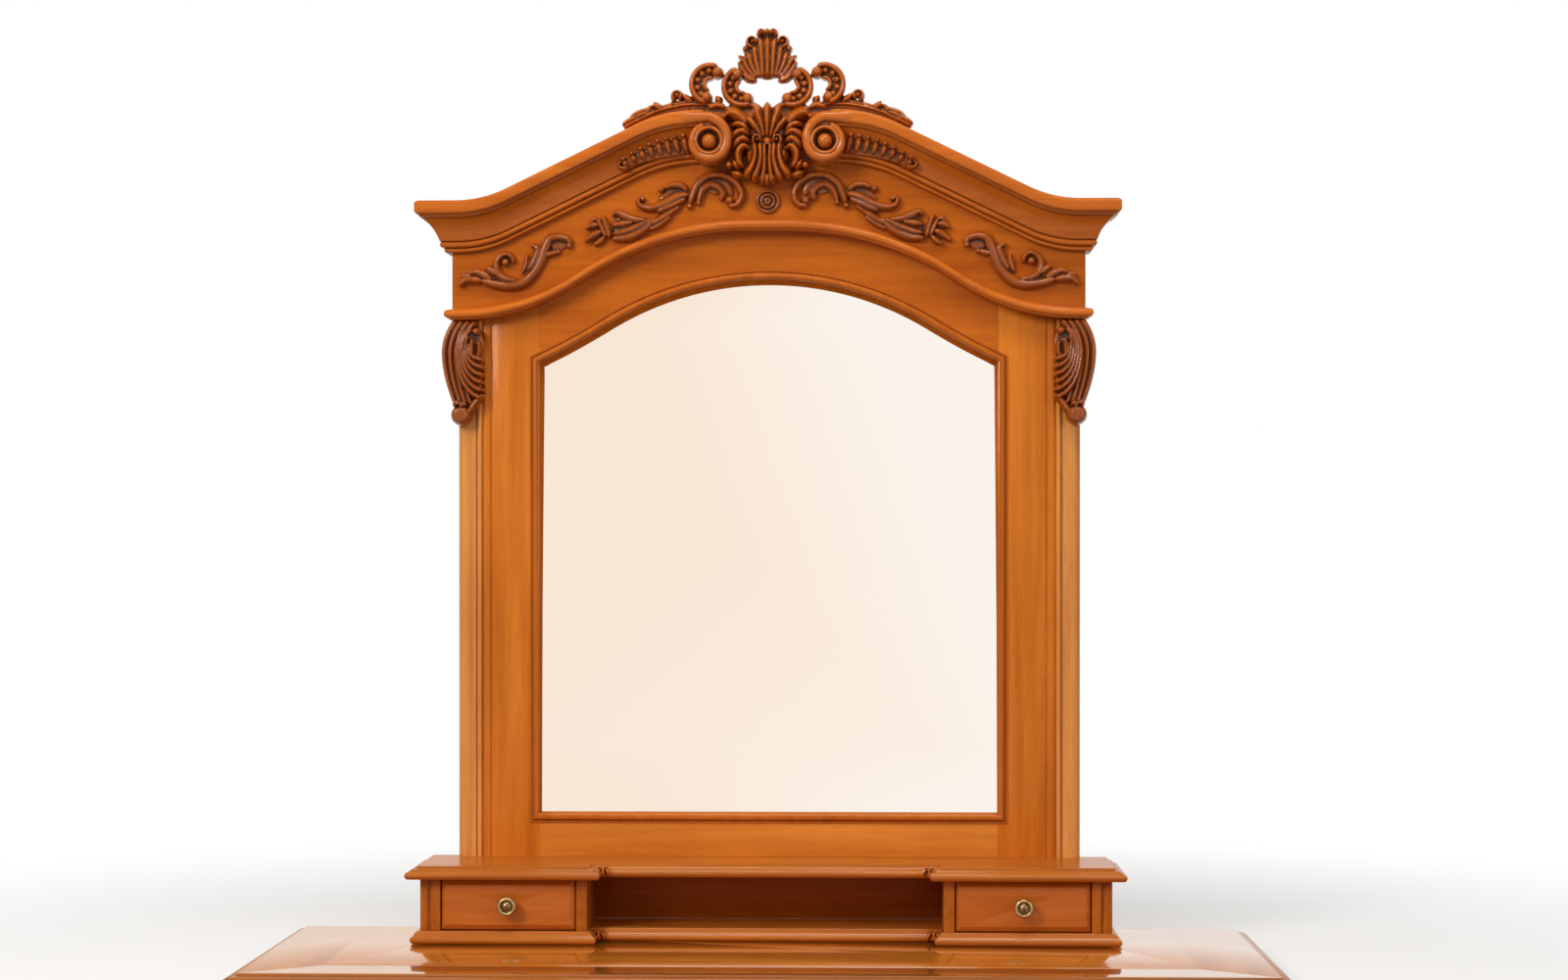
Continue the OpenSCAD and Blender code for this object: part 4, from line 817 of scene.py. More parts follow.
class Carving:
    # Strokes of the gouge on a flat drawing: across, up, and how far each stands out of its ground
    underside = -1.2

    def __init__(self):
        self.points = []
        self.faces = []

    def skin(self, rings):
        first, count = len(self.points), len(rings[0])
        self.points += [p for ring in rings for p in ring]
        for i in range(len(rings) - 1):
            for j in range(count):
                k = (j + 1) % count
                self.faces.append((first + i * count + j, first + i * count + k,
                                   first + (i + 1) * count + k, first + (i + 1) * count + j))
        self.faces.append(tuple(first + j for j in range(count - 1, -1, -1)))
        self.faces.append(tuple(first + (len(rings) - 1) * count + j for j in range(count)))

    def stroke(self, line, widths, heights, ridges=0, side=0.3, smooth=7, round_over=0.9):
        # A band through a few points, round at both ends; ridges run along it, side is how steep
        # its flanks are, and a smaller round_over makes it fuller and less keeled
        line = np.array(line, float)
        if smooth and len(line) > 2:
            padded = np.vstack([2 * line[0] - line[1], line, 2 * line[-1] - line[-2]])
            parts = []
            for a, b, c, d in zip(padded, padded[1:], padded[2:], padded[3:]):
                for t in np.linspace(0.0, 1.0, smooth, endpoint=False):
                    parts.append(0.5 * (2 * b + (c - a) * t + (2 * a - 5 * b + 4 * c - d) * t ** 2
                                        + (3 * b - a - 3 * c + d) * t ** 3))
            line = np.array(parts + [line[-1]])
        elif len(line) == 2:
            line = line[0] + (line[1] - line[0]) * np.linspace(0.0, 1.0, 12)[:, None]
        steps = np.linalg.norm(np.diff(line, axis=0), axis=1)
        along = np.concatenate([[0.0], np.cumsum(steps)])
        length = along[-1]
        share = along / length
        width = np.interp(share, np.linspace(0, 1, np.size(widths)), np.atleast_1d(widths))
        height = np.interp(share, np.linspace(0, 1, np.size(heights)), np.atleast_1d(heights))
        tangent = np.gradient(line, axis=0)
        tangent /= np.linalg.norm(tangent, axis=1)[:, None] + 1e-9
        end = np.clip(np.minimum(along, length - along) / (width * 0.75), 0.03, 1.0)
        rounding = np.sqrt(1.0 - (1.0 - end) ** 2)
        u = np.linspace(-1.0, 1.0, 8 * ridges + 1 if ridges > 1 else 15)
        dome = side + (1.0 - side) * np.clip(1.0 - np.abs(u) ** 2.0, 0.0, 1.0) ** round_over
        if ridges > 1:
            groove = 0.34
            dome = dome * (1.0 - groove + groove * np.abs(np.sin(math.pi * ridges * (u + 1.0) / 2.0)) ** 0.7)
        rings = []
        for (x, z), (tx, tz), w, h, e in zip(line, tangent, width, height, rounding):
            half, top = w * e / 2, h * (0.5 + 0.5 * e)
            ring = [(x - tz * q * half, top * d, z + tx * q * half) for q, d in zip(u, dome)]
            rings.append(ring + [(x - tz * half, self.underside, z + tx * half),
                                 (x + tz * half, self.underside, z - tx * half)])
        self.skin(rings)

    def curl(self, centre, radius, angle, width, height, **form):
        # A band round a centre, its radius and angle each running evenly from first to last
        steps = max(8, int(abs(angle[1] - angle[0]) / 8))
        t = np.linspace(0.0, 1.0, steps)
        a = np.radians(angle[0] + (angle[1] - angle[0]) * t)
        r = radius[0] + (radius[1] - radius[0]) * t
        self.stroke(np.stack([centre[0] + r * np.cos(a), centre[1] + r * np.sin(a)], axis=1), width, height,
                    smooth=0, **form)

    def eye(self, centre, radius, height, ground=0.0, full=1.0, tall=1.0):
        # A domed eye or ball; a smaller full makes its sides steeper, tall makes it an upright oval
        round_turn = np.linspace(0, 2 * math.pi, 22, endpoint=False)
        rings = [[(centre[0] + radius * math.cos(b), self.underside, centre[1] + tall * radius * math.sin(b))
                  for b in round_turn]]
        for t in np.linspace(0.0, 1.0, 9):
            reach_out = max(0.02, radius * math.cos(t * math.pi / 2) ** full)
            rings.append([(centre[0] + reach_out * math.cos(b), ground + height * math.sin(t * math.pi / 2),
                           centre[1] + tall * reach_out * math.sin(b)) for b in round_turn])
        self.skin(rings)


def in_place(carving, middle, sides, face_y):
    # The drawing set up on its ground, once for each side asked for
    points, faces = [], []
    for sign in sides:
        first = len(points)
        points += [((middle[0] + x * mm) * sign, face_y - y * mm, middle[1] + z * mm)
                   for x, y, z in carving.points]
        faces += [tuple(first + i for i in face) for face in carving.faces]
    return points, faces


def made_mesh(holder):
    # The mesh that an object's modifiers give; the object itself goes
    made = bpy.data.meshes.new_from_object(holder.evaluated_get(bpy.context.evaluated_depsgraph_get()))
    holder.modifiers.clear()
    bpy.data.objects.remove(holder)
    return made


def marked(mesh, co, voxel):
    # How far each corner lies below its near and its wider surroundings gives two attributes: painted
    # shade in its hollows and a painted highlight on its ridges
    count = len(mesh.vertices)
    ends = np.empty(len(mesh.edges) * 2, int)
    mesh.edges.foreach_get("vertices", ends)
    a, b = ends.reshape(-1, 2).T
    degree = np.bincount(ends, minlength=count)[:, None] + 1e-9
    normals = np.empty(count * 3)
    mesh.vertices.foreach_get("normal", normals)
    even, sunk = co, []
    for rounds in (int(9 / voxel), int(45 / voxel)):
        for _ in range(rounds):
            even = np.stack([np.bincount(a, even[b, i], count) + np.bincount(b, even[a, i], count)
                             for i in range(3)], axis=1) / degree
        sunk.append(((even - co) * normals.reshape(-1, 3)).sum(axis=1) / mm)
    # Hollows are marked for painted shade and ridges for a painted highlight
    for attribute, value in (("hollow", sunk[0] * 1.7 + np.maximum(sunk[1], 0.0) * 0.55 + 0.05),
                             ("arris", -sunk[0] * 1.6 - 0.35)):
        layer = mesh.attributes.new(attribute, "FLOAT", "POINT")
        layer.data.foreach_set("value", np.clip(value, 0.0, 1.0).astype(np.float32))


def carved(name, node, material, parts, back_y, voxel=0.8, rounds=2):
    # Melts all strokes into one block, smooths and thins it, marks its hollows for painted shade and its
    # ridges for a painted highlight, and cuts it off flat at its back
    mesh = bpy.data.meshes.new(name)
    points, faces = [], []
    for part_points, part_faces in parts:
        first = len(points)
        points += part_points
        faces += [tuple(first + i for i in face) for face in part_faces]
    mesh.from_pydata(points, [], faces)
    shape = bmesh.new()
    shape.from_mesh(mesh)
    bmesh.ops.recalc_face_normals(shape, faces=shape.faces)
    shape.to_mesh(mesh)
    shape.free()
    block = bpy.data.objects.new(name + "_block", mesh)
    bpy.context.scene.collection.objects.link(block)
    melt = block.modifiers.new("melt", "REMESH")
    melt.mode = "VOXEL"
    melt.voxel_size = voxel * mm
    ease = block.modifiers.new("ease", "SMOOTH")
    ease.factor = 0.5
    ease.iterations = rounds
    block.modifiers.new("thin", "DECIMATE").ratio = 0.5
    done = made_mesh(block)
    done.name = name
    co = np.empty(len(done.vertices) * 3)
    done.vertices.foreach_get("co", co)
    co = co.reshape(-1, 3)
    co[:, 1] = np.minimum(co[:, 1], back_y)
    done.vertices.foreach_set("co", co.ravel())
    done.update()
    marked(done, co, voxel)
    done.shade_smooth()
    placed(name, done, material, "hutch", "carved_wood", node)


both = (-1, 1)
volute_x = 76.0
volute_r = 41.0
volute_z = (cornice_line(volute_x * mm) - crown_top_z) / mm - volute_r
rim_r = 16.8
volute = Carving()
volute_eye = (volute_x, volute_z)
band_line = [(x, (cornice_line(x * mm) - crown_top_z) / mm - 10.0) for x in np.arange(156.0, 80.0, -8.0)]
band_width = [20.4] * len(band_line)
for angle in np.arange(0.0, 351.0, 10.0):
    t = angle / 360.0
    outer = volute_r * (0.70 - 0.10 * t + 0.30 * max(0.0, 1 - 3 * t) ** 2) + 2.5 * math.sin(math.pi * t)
    inner = rim_r - 0.5 + 5.4 * max(0.0, 1 - 4 * t)
    a = math.radians(angle)
    middle = (outer + inner) / 2
    band_line.append((volute_x - middle * math.sin(a), volute_z + middle * math.cos(a)))
    band_width.append(outer - inner)
volute.eye(volute_eye, 22.5, 30.5, full=0.12)
volute.stroke(band_line, band_width, [36.0, 41.0, 44.4] + [45.4] * 7, side=0.84, smooth=3, round_over=0.5)
volute.curl(volute_eye, (rim_r, rim_r), (-60, 350), 5.2, 45.8, side=0.85, round_over=0.5)
volute.curl(volute_eye, (22.0, 22.0), (-10, 175), 8.0, 40.0, side=0.9)
volute.eye(volute_eye, 10.2, 13.5, ground=32.0, full=0.8)
volute_wood = lacquered("volute_wood", (0.60, 0.150, 0.014), (0.40, 0.080, 0.005), "X", figure=0.15,
                        fibre=4.0, rough=0.26, coat=0.5, coat_rough=0.09, rub=0.15, glaze=0.9)
for side, sign in (("left", -1), ("right", 1)):
    carved(f"{side}_scrolled_volute", f"{side}_volute", volute_wood,
           [in_place(volute, (0.0, crown_top_z), (sign,), frieze_face)], frieze_face, rounds=3)


# ---- Cove feathers ----
# A fan of short ruffled feathers lies in each cornice's cove beside its volute, shrinking outwards
# to a curled end. Carved in darker wood and glued in.

# Carved pieces take strong painted shade in their hollows and painted highlights on their ridges
carved_look = dict(grain="Z", figure=0.1, fibre=3.5, glaze=1.0)
polished = dict(rough=0.24, coat=0.65, coat_rough=0.07, rub=0.40, **carved_look)
carved_wood = lacquered("carved_wood", (0.380, 0.084, 0.006), (0.220, 0.040, 0.002), **polished)
feather_root = volute_x + 26.0
feather_l = 90.0
feather_ribs = 8
feather_depth = 25.0


def feather_z(x):
    return -0.67 * cornice_tall - 0.3 * feather_l * ((x - feather_root) / feather_l) ** 2


feather = Carving()
stations = np.linspace(0.0, 1.0, 9)
feather_line = [(feather_root + feather_l * t, feather_z(feather_root + feather_l * t)) for t in stations]
feather.stroke(feather_line, [feather_depth * (1 - 0.55 * t ** 2) for t in stations], 24.0, side=0.85)
for i in range(feather_ribs):
    shrink = 1.0 - 0.58 * ((i + 0.5) / feather_ribs) ** 1.6
    x = feather_root + (i + 0.55) * feather_l / feather_ribs
    top = feather_z(x) + feather_depth * 0.5 * shrink
    reach_down = feather_depth * 0.98 * shrink
    feather.stroke([(x + 2.0, top), (x, top - 0.5 * reach_down), (x - 4.5, top - reach_down)],
                   [13.0, 12.0, 8.0], [31.5, 30.5, 26.0], side=0.6, smooth=5)
    feather.eye((x + 2.2, top - 0.4), 5.0 - 0.2 * i, 32.5, full=0.6)
feather_tip = (feather_root + feather_l, feather_z(feather_root + feather_l))
feather.stroke([(feather_tip[0] - 10, feather_tip[1] - 3), (feather_tip[0], feather_tip[1] - 3),
                (feather_tip[0] + 4, feather_tip[1] + 2), (feather_tip[0] - 1, feather_tip[1] + 6)],
               [6.0, 7.0, 6.0, 4.5], 28.0, side=0.7)
carved("cove_feather_carvings", "cove_feathers", carved_wood,
       [in_place(feather, (0.0, crown_top_z), both, frieze_face)], frieze_face)


# ---- Crest ----
# The openwork finial: a fluted shell under a curled top, held up by two pairs of beaded C-scrolls,
# with curled leaves that run down on the cornices. Sawn from thick wood, carved and doweled on.

crest_wood = lacquered("crest_wood", (0.480, 0.110, 0.006), (0.280, 0.052, 0.002), **polished)
crest_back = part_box("crest_carving")[1].y
crest_r = 22.0
shell_h = 67.0
half_crest = Carving()


def on_cornice(x, up):
    # A point of the crest that lies some way above the cornice's top edge
    return x, (cornice_line(x * mm) - crown_top_z) / mm + up + 4.0


def c_scroll(carving, centre, reach_out, width, angle, height):
    # A broad C: a smooth outer rim, a sunk channel for the beads, and an inner lip
    middle = reach_out - width / 2
    carving.curl(centre, (middle, middle), angle, (width * 0.94, width), height * 0.60, side=0.8)
    for inwards, band, tall in ((0.16, 0.34, 1.0), (0.86, 0.24, 0.88)):
        radius = reach_out - inwards * width
        carving.curl(centre, (radius, radius), angle, (band * width, band * width), height * tall,
                     side=0.6, round_over=0.5)


half_crest.stroke([(-3.0, -2.0), (30.0, -1.0)] + [on_cornice(x, -7.0) for x in (60, 90, 120, 150, 182)],
                  [15.0, 15.0, 14.0, 12.0, 8.0], 12.0, side=0.9)
inner_c = (1.5 * crest_r, 1.5 * crest_r)
outer_c = (3.4 * crest_r, 1.65 * crest_r)
c_scroll(half_crest, inner_c, 1.27 * crest_r, 1.06 * crest_r, (76, -120), 21.0)
c_scroll(half_crest, outer_c, 1.30 * crest_r, 1.08 * crest_r, (114, -80), 22.0)
for x, z in ((1.80, 2.24), (1.20, 0.80), (2.98, 2.36), (3.66, 0.88)):
    half_crest.eye((x * crest_r, z * crest_r), 0.39 * crest_r, 24.0, full=0.7)
half_crest.stroke([(2.45 * crest_r, 5.0), (3.0 * crest_r, 9.0), (3.6 * crest_r, 5.0)], [8.0, 13.0, 9.0],
                  17.0)
half_crest.stroke([(0.3 * crest_r, 4.0), (1.0 * crest_r, 9.0), (1.9 * crest_r, 5.5), (2.6 * crest_r, 3.0)],
                  [8.0, 12.0, 13.0, 10.0], 16.0)
half_crest.stroke([(3.1 * crest_r, 1.0 * crest_r), (2.9 * crest_r, 0.7 * crest_r), on_cornice(66, 8.0)],
                  [8.0, 12.0, 14.0], 16.0)
# The leaves that lie on the cornice: points across and above it, widths, height and ridges
for line, widths, height, ridges in (
        (((62, 4.5), (84, 6.0), (106, 6.5), (128, 6.0), (150, 5.5), (176, 4.0)),
         (9.0, 14.0, 16.0, 15.0, 13.0, 9.0), 15.0, 3),
        (((113, 22.0), (106, 15.0), (98, 9.0)), (8.0, 11.0, 9.0), 16.0, 0),
        (((126, 14.0), (128, 9.0), (138, 6.0)), (8.0, 10.0, 8.0), 14.0, 0),
        (((139, 5.0), (145, 12.0), (150, 20.0)), (9.0, 12.0, 8.0), 17.0, 0),
        (((158, 6.0), (157, 12.0), (151, 16.5)), (8.0, 9.0, 7.0), 16.0, 0),
        (((146, 5.0), (160, 11.0), (174, 12.0), (184, 6.0)), (8.0, 12.5, 13.0, 9.0), 15.0, 2),
        (((164, 4.0), (178, 5.0), (190, 4.0)), (8.0, 10.0, 8.0), 14.0, 0),
        (((172, 9.0), (184, 9.5), (192, 8.0)), (6.0, 9.0, 7.0), 16.0, 0)):
    half_crest.stroke([on_cornice(x, up) for x, up in line], widths, height, ridges=ridges)
half_crest.curl(on_cornice(119, 20.0), (6.4, 4.8), (-75, 250), (7.4, 6.0), 18.0)
half_crest.eye(on_cornice(119, 20.0), 4.0, 20.0)
half_crest.eye(on_cornice(150, 14.0), 3.4, 19.0)

shell_root = 2.05 * crest_r
for z, radius, tall in ((0.30, 0.30, 1.1), (0.22, 0.40, 0.55), (0.62, 0.24, 1.2), (0.56, 0.34, 0.7)):
    half_crest.eye((0.0, shell_root + z * shell_h), radius * shell_h, 13.0, full=0.35, tall=tall)
for line, widths, height in (
        (((0.000, 0.00), (0.000, 0.80)), (0.12, 0.15, 0.17), 18.5),
        (((0.095, 0.00), (0.115, 0.42), (0.145, 0.78)), (0.10, 0.14, 0.16), 17.8),
        (((0.150, 0.00), (0.225, 0.33), (0.275, 0.64)), (0.09, 0.14, 0.16), 17.0),
        (((0.190, 0.00), (0.310, 0.24), (0.385, 0.51)), (0.08, 0.13, 0.15), 16.4),
        (((0.220, -0.01), (0.370, 0.15), (0.490, 0.37), (0.580, 0.44)), (0.08, 0.13, 0.13, 0.06), 15.8),
        (((0.230, -0.03), (0.390, 0.05), (0.510, 0.20), (0.580, 0.33)), (0.08, 0.12, 0.12, 0.06), 15.2),
        (((0.200, -0.06), (0.380, -0.01), (0.500, 0.10)), (0.09, 0.13, 0.10), 14.5)):
    half_crest.stroke([(x * shell_h, shell_root + z * shell_h) for x, z in line],
                      [1.22 * w * shell_h for w in widths], (height * 0.85, height, height * 1.12), side=0.22)
for x, z, radius in ((0.29, 0.68, 0.12), (0.20, 0.44, 0.25), (0.34, 0.50, 0.13), (0.42, 0.36, 0.10)):
    half_crest.eye((x * shell_h, shell_root + z * shell_h), radius * shell_h, 13.5, full=0.4)
half_crest.eye((0.430 * shell_h, shell_root + 0.57 * shell_h), 0.070 * shell_h, 20.0, full=0.7)
# The curled top's scrolls, each round its own small eye
for x, z, first, last, angle, width, eye_r in ((0.30, 0.70, 0.105, 0.07, (-110, 215), 0.11, 0.05),
                                               (0.115, 0.87, 0.065, 0.05, (-70, 225), 0.10, 0.04)):
    scroll_eye = (x * shell_h, shell_root + z * shell_h)
    half_crest.curl(scroll_eye, (first * shell_h, last * shell_h), angle, (width * shell_h, 0.08 * shell_h),
                    22.0)
    half_crest.eye(scroll_eye, eye_r * shell_h, 23.0)
half_crest.stroke([(0.0, shell_root + 0.83 * shell_h), (0.0, shell_root + 0.97 * shell_h)],
                  [0.10 * shell_h, 0.17 * shell_h, 0.15 * shell_h], 23.0)


def on_points(name, points, tree, keys, **values):
    # The mesh that a node tree makes from a few points
    rows = bpy.data.meshes.new(name)
    rows.from_pydata(points, [], [])
    holder = bpy.data.objects.new(name + "_rows", rows)
    bpy.context.scene.collection.objects.link(holder)
    modifier = holder.modifiers.new("on_points", "NODES")
    modifier.node_group = tree
    for label, value in values.items():
        modifier[keys[label.replace("_", " ")]] = value
    return made_mesh(holder)


def set_on_points(tree, given, end, thing, **turn_or_scale):
    # A thing set on every point it is given, made real and painted
    spots = linked(tree, "GeometryNodeInstanceOnPoints", Points=given["Geometry"], Instance=thing,
                   **turn_or_scale)
    real = linked(tree, "GeometryNodeRealizeInstances", Geometry=spots.outputs["Instances"])
    paint = linked(tree, "GeometryNodeSetMaterial", Geometry=real.outputs["Geometry"],
                   Material=given["Finish"])
    filled(tree, end, Geometry=paint.outputs["Geometry"])


def bead_tree():
    # Geometry Nodes: a small ball on each point of a row, made real so that it can be melted in
    tree, keys, given, end = new_tree(
        "beads_on_points", "GeometryNodeTree",
        {"Geometry": "Geometry", "Bead Radius": "Float", "Stand Out": "Float", "Finish": "Material"},
        {"Geometry": "Geometry"})
    ball = linked(tree, "GeometryNodeMeshIcoSphere", Radius=given["Bead Radius"], Subdivisions=3)
    size = linked(tree, "ShaderNodeCombineXYZ", X=1.0, Y=given["Stand Out"], Z=1.0)
    set_on_points(tree, given, end, ball.outputs["Mesh"], Scale=size.outputs["Vector"])
    return tree, keys


bead_spots = []
for centre, radius, first, last in ((inner_c, 0.74 * crest_r, 44, -86), (outer_c, 0.80 * crest_r, 84, -48)):
    for a in np.radians(np.linspace(first, last, 5)):
        for sign in both:
            bead_spots.append((sign * (centre[0] + radius * math.cos(a)) * mm, crest_back - 13.0 * mm,
                               crown_top_z + (centre[1] + radius * math.sin(a)) * mm))
beads = on_points("bead_rows", bead_spots, *bead_tree(), Bead_Radius=3.9 * mm, Stand_Out=1.6,
                  Finish=crest_wood)
carved("crest_shell_and_scrolls", "crest_carving", crest_wood,
       [in_place(half_crest, (0.0, crown_top_z), both, crest_back),
        ([tuple(v.co) for v in beads.vertices], [tuple(p.vertices) for p in beads.polygons])],
       crest_back, voxel=0.85)


# ---- Cartouche ----
# The boss between the volutes: a palmette rising over two flaring plumes with a small shell at
# their foot, wrapped at both sides in leaves that curl outwards. Carved in one block, glued on.

cartouche = Carving()
half_cartouche = Carving()
cartouche.eye((0.0, -54.0), 30.0, 24.0, full=0.3)
cartouche.eye((0.0, -22.0), 28.0, 22.0, full=0.3)
cartouche.eye((0.0, -41.0), 9.0, 32.0, full=0.8)
cartouche.eye((0.0, -76.0), 25.0, 22.0, full=0.3, tall=0.7)
cartouche.stroke([(0, -36), (0, -10), (0, 13)], [6.0, 12.0, 15.0], [28.0, 36.0, 34.0], side=0.35)
for line, widths, heights in (
        (((3.5, -36), (9, -14), (17, 8)), (5, 11, 14), (28, 34, 32)),
        (((6, -36), (16, -20), (28, -6)), (5, 10, 13), (28, 33, 31))):
    half_cartouche.stroke(line, [1.15 * w for w in widths], heights, side=0.35)
for line, widths, heights in (
        (((17, -38), (15.5, -57), (20, -73), (30, -87)), (8, 7, 8.5, 10), (36, 36, 34, 31)),
        (((10, -40), (8.5, -60), (12, -77), (19, -92)), (7, 6, 7.5, 9.5), (38, 38, 36, 32)),
        (((3.8, -42), (3.4, -62), (4.5, -80), (8, -94)), (4.5, 5, 6.5, 8), (34, 36, 34, 30)),
        (((24, -21), (34, -8), (46, -2), (58, -6)), (8, 13, 13, 8), (26, 31, 32, 28)),
        (((24, -27), (32, -19), (41, -17), (47, -20)), (6, 8, 8, 5), (30, 34, 34, 30)),
        (((23, -31), (33, -26), (42, -30), (47, -38)), (6, 9, 9, 5), (28, 33, 32, 28)),
        (((23, -41), (32, -36), (40, -41), (45, -50)), (6, 9, 9, 5), (28, 33, 32, 28)),
        (((23, -50), (31, -46), (38, -53), (38, -65), (31, -74)), (6, 9, 9, 8, 5), (28, 33, 33, 30, 26)),
        (((36, -76), (42, -70), (46, -62)), (5, 8, 5), (24, 28, 26)),
        (((31, -84), (40, -82), (48, -78)), (6, 8, 5), (22, 25, 22))):
    half_cartouche.stroke(line, [1.52 * w for w in widths], heights, side=0.38)
half_cartouche.curl((13.0, -38.5), (5.6, 4.0), (-70, 230), (5.0, 4.0), 41.0, side=0.6)
half_cartouche.eye((13.0, -38.5), 3.4, 43.0)
half_cartouche.eye((50.5, -71.0), 5.2, 33.0, full=0.6)
half_cartouche.eye((57.0, -7.0), 4.4, 32.0, full=0.6)
cartouche.stroke([(0, -82), (0, -97)], [4, 8.5, 8], 33.0, side=0.5)
for heading, length in ((-62, 14.0), (-34, 12.5)):
    a = math.radians(heading)
    half_cartouche.stroke([(1.5, -83), (1.5 + length * math.cos(a), -83 + length * math.sin(a))],
                          [3.5, 7.5, 7.5], 30.0, side=0.5)
carved("palmette_cartouche", "centre_cartouche", crest_wood,
       [in_place(cartouche, (0.0, crown_top_z), (1,), frieze_face),
        in_place(half_cartouche, (0.0, crown_top_z), both, frieze_face)], frieze_face)


# ---- Frieze sprays ----
# Flat leaf sprays glued on the frieze board at both sides of a turned rosette: scrolled acanthus
# stems whose leaves curl up, a ringed bell with pointed tips, and a rising pair near the ends.

inner_spray = Carving()
for line, widths, height in (
        (((53, 18), (41, 20), (34.5, 33), (42, 49), (58, 58), (77, 58), (92, 48), (99, 34), (103, 20)),
         (6, 7.5, 8, 8, 8, 8.5, 9, 8, 5), 10.0),
        (((62, 25), (60, 36), (67, 44), (77, 46), (86, 40), (90, 30), (92, 22)),
         (6, 7.5, 7.5, 8, 8, 7, 5), 8.5),
        (((106, 38), (114, 45), (126, 46), (138, 42)), (6, 8, 7, 5), 8.5),
        (((104, 34), (120, 30), (138, 21), (156, 16), (168, 19), (171, 27), (164, 31)),
         (7, 9, 10, 9, 8, 6, 4.5), 10.0),
        (((108, 28), (128, 19), (147, 11)), (5, 9, 6), 9.5),
        (((116, 18), (136, 5), (156, -7)), (3, 8, 6), 8.5),
        (((128, 4), (143, -6), (157, -13)), (2.5, 6, 5), 7.5),
        (((148, 2), (166, -14), (187, -23), (207, -25)), (6, 9, 9.5, 6), 9.5),
        (((154, 1), (173, -9), (192, -16), (205, -18)), (4, 8, 8, 5), 9.0),
        (((160, 0), (176, 1), (190, 6), (200, 10), (206, 5)), (4, 8, 9.5, 8, 5), 9.5),
        (((178, -3), (193, -5), (205, -7)), (4, 8, 6), 9.0),
        (((219, 7), (213.5, -7), (209, -24)), (5, 7.5, 5.5), 12.0),
        (((225, 1), (219, -11), (214, -23)), (4.5, 6.5, 5), 11.0),
        (((222, -6), (233, -7), (241, -12)), (6, 7.5, 4), 9.5),
        (((218, -14), (231, -20), (242, -29)), (6, 8.5, 4.5), 9.5),
        (((215, -21), (223, -29), (231, -33)), (5, 7, 4), 8.5),
        (((223, 0), (230, 1), (235, -3)), (4.5, 6, 4), 8.5)):
    inner_spray.stroke(line, [1.5 * w for w in widths], 1.15 * height, side=0.25)
# The leaves' common ground, lower than their ribs
for line, widths in ((((47, 32), (56, 48), (72, 52), (88, 45), (96, 32)), (9, 10, 10, 10, 8)),
                     (((98, 34), (118, 34), (146, 24)), (14, 22, 12)),
                     (((112, 22), (134, 8), (158, -8)), (8, 13, 8)),
                     (((150, -2), (172, -7), (192, -8), (207, -10)), (10, 24, 34, 30)),
                     (((210, -10), (220, -12), (230, -14)), (30, 28, 16)),
                     (((64, 36), (80, 44), (92, 34)), (12, 16, 14))):
    inner_spray.stroke(line, widths, 4.6, side=0.5)
for x, z, radius, height in ((50.5, 25.5, 6.2, 12.0), (103.5, 18, 4.6, 10.5), (141, 40.5, 4.8, 11.0),
                             (165, 27.5, 4.0, 11.5), (91.5, 22.5, 4.2, 10.0)):
    inner_spray.eye((x, z), radius, height, full=0.8)
outer_spray = Carving()
for line, widths, height in (
        (((262, -36), (263, -27), (270, -23), (280, -22), (289, -25), (295, -36), (300, -51), (309, -68),
          (323, -81), (341, -86), (361, -84), (380, -79)),
         (7, 8.5, 10, 12, 12, 11, 11, 12, 12, 11, 10, 7), 9.5),
        (((297, -46), (286, -44), (277, -42)), (7, 7.5, 5), 8.0),
        (((318, -67), (309, -52), (305, -39), (311, -32)), (6, 9.5, 10, 6), 9.5),
        (((325, -70), (320, -56), (319, -44)), (5, 7, 4.5), 8.0),
        (((337, -58), (338, -50), (345, -44.5), (354, -47), (360, -57), (358, -69), (348, -77), (333, -79)),
         (5, 6.5, 7, 7.5, 9, 9, 8, 6), 9.0),
        (((357, -73), (366, -66), (374, -62)), (7, 9.5, 6), 9.5),
        (((366, -78), (378, -71), (388, -68), (398, -71)), (7, 10, 9, 5), 9.0),
        (((378, -80), (392, -78), (402, -79), (409, -87)), (7, 10, 9, 5), 9.5),
        (((392, -74), (402, -73), (407, -75)), (5, 7, 4), 8.5)):
    outer_spray.stroke(line, [1.36 * w for w in widths], 1.15 * height, side=0.25)
for line, widths in ((((300, -48), (310, -56), (324, -72)), (10, 18, 12)),
                     (((352, -70), (370, -74), (396, -76)), (14, 20, 12)),
                     (((266, -33), (280, -32), (290, -34)), (12, 18, 12))):
    outer_spray.stroke(line, widths, 4.6, side=0.5)
for x, z, radius, height in ((347.5, -55.5, 5.6, 11.0), (262.5, -34, 4.4, 10.5), (277.5, -42, 3.8, 9.0),
                             (310, -33.5, 4.4, 10.5)):
    outer_spray.eye((x, z), radius, height, full=0.8)
for name, spray, node in (("inner_leaf_sprays", inner_spray, "inner_sprays"),
                          ("outer_leaf_sprays", outer_spray, "outer_sprays")):
    carved(name, node, carved_wood, [in_place(spray, (0.0, neck_top_z), both, frieze_face)], frieze_face,
           voxel=0.7)

rosette_low, rosette_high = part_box("frieze_rosette")
rosette_centre = Vector((0.0, rosette_high.y, (rosette_low.z + rosette_high.z) / 2))
rosette_profile = ([(0.05, 0.0), (16.3, 0.0), (16.4, 2.0)] + arc((13.9, 2.6), 2.5, 0, 150, 6)
                   + [(11.2, 2.0), (10.8, 1.8)] + arc((8.6, 3.4), 2.3, 0, 165, 6) + [(5.9, 2.6), (5.6, 2.6)]
                   + arc((2.9, 4.6), 2.5, -10, 150, 6) + [(0.6, 5.4), (0.05, 5.2)])
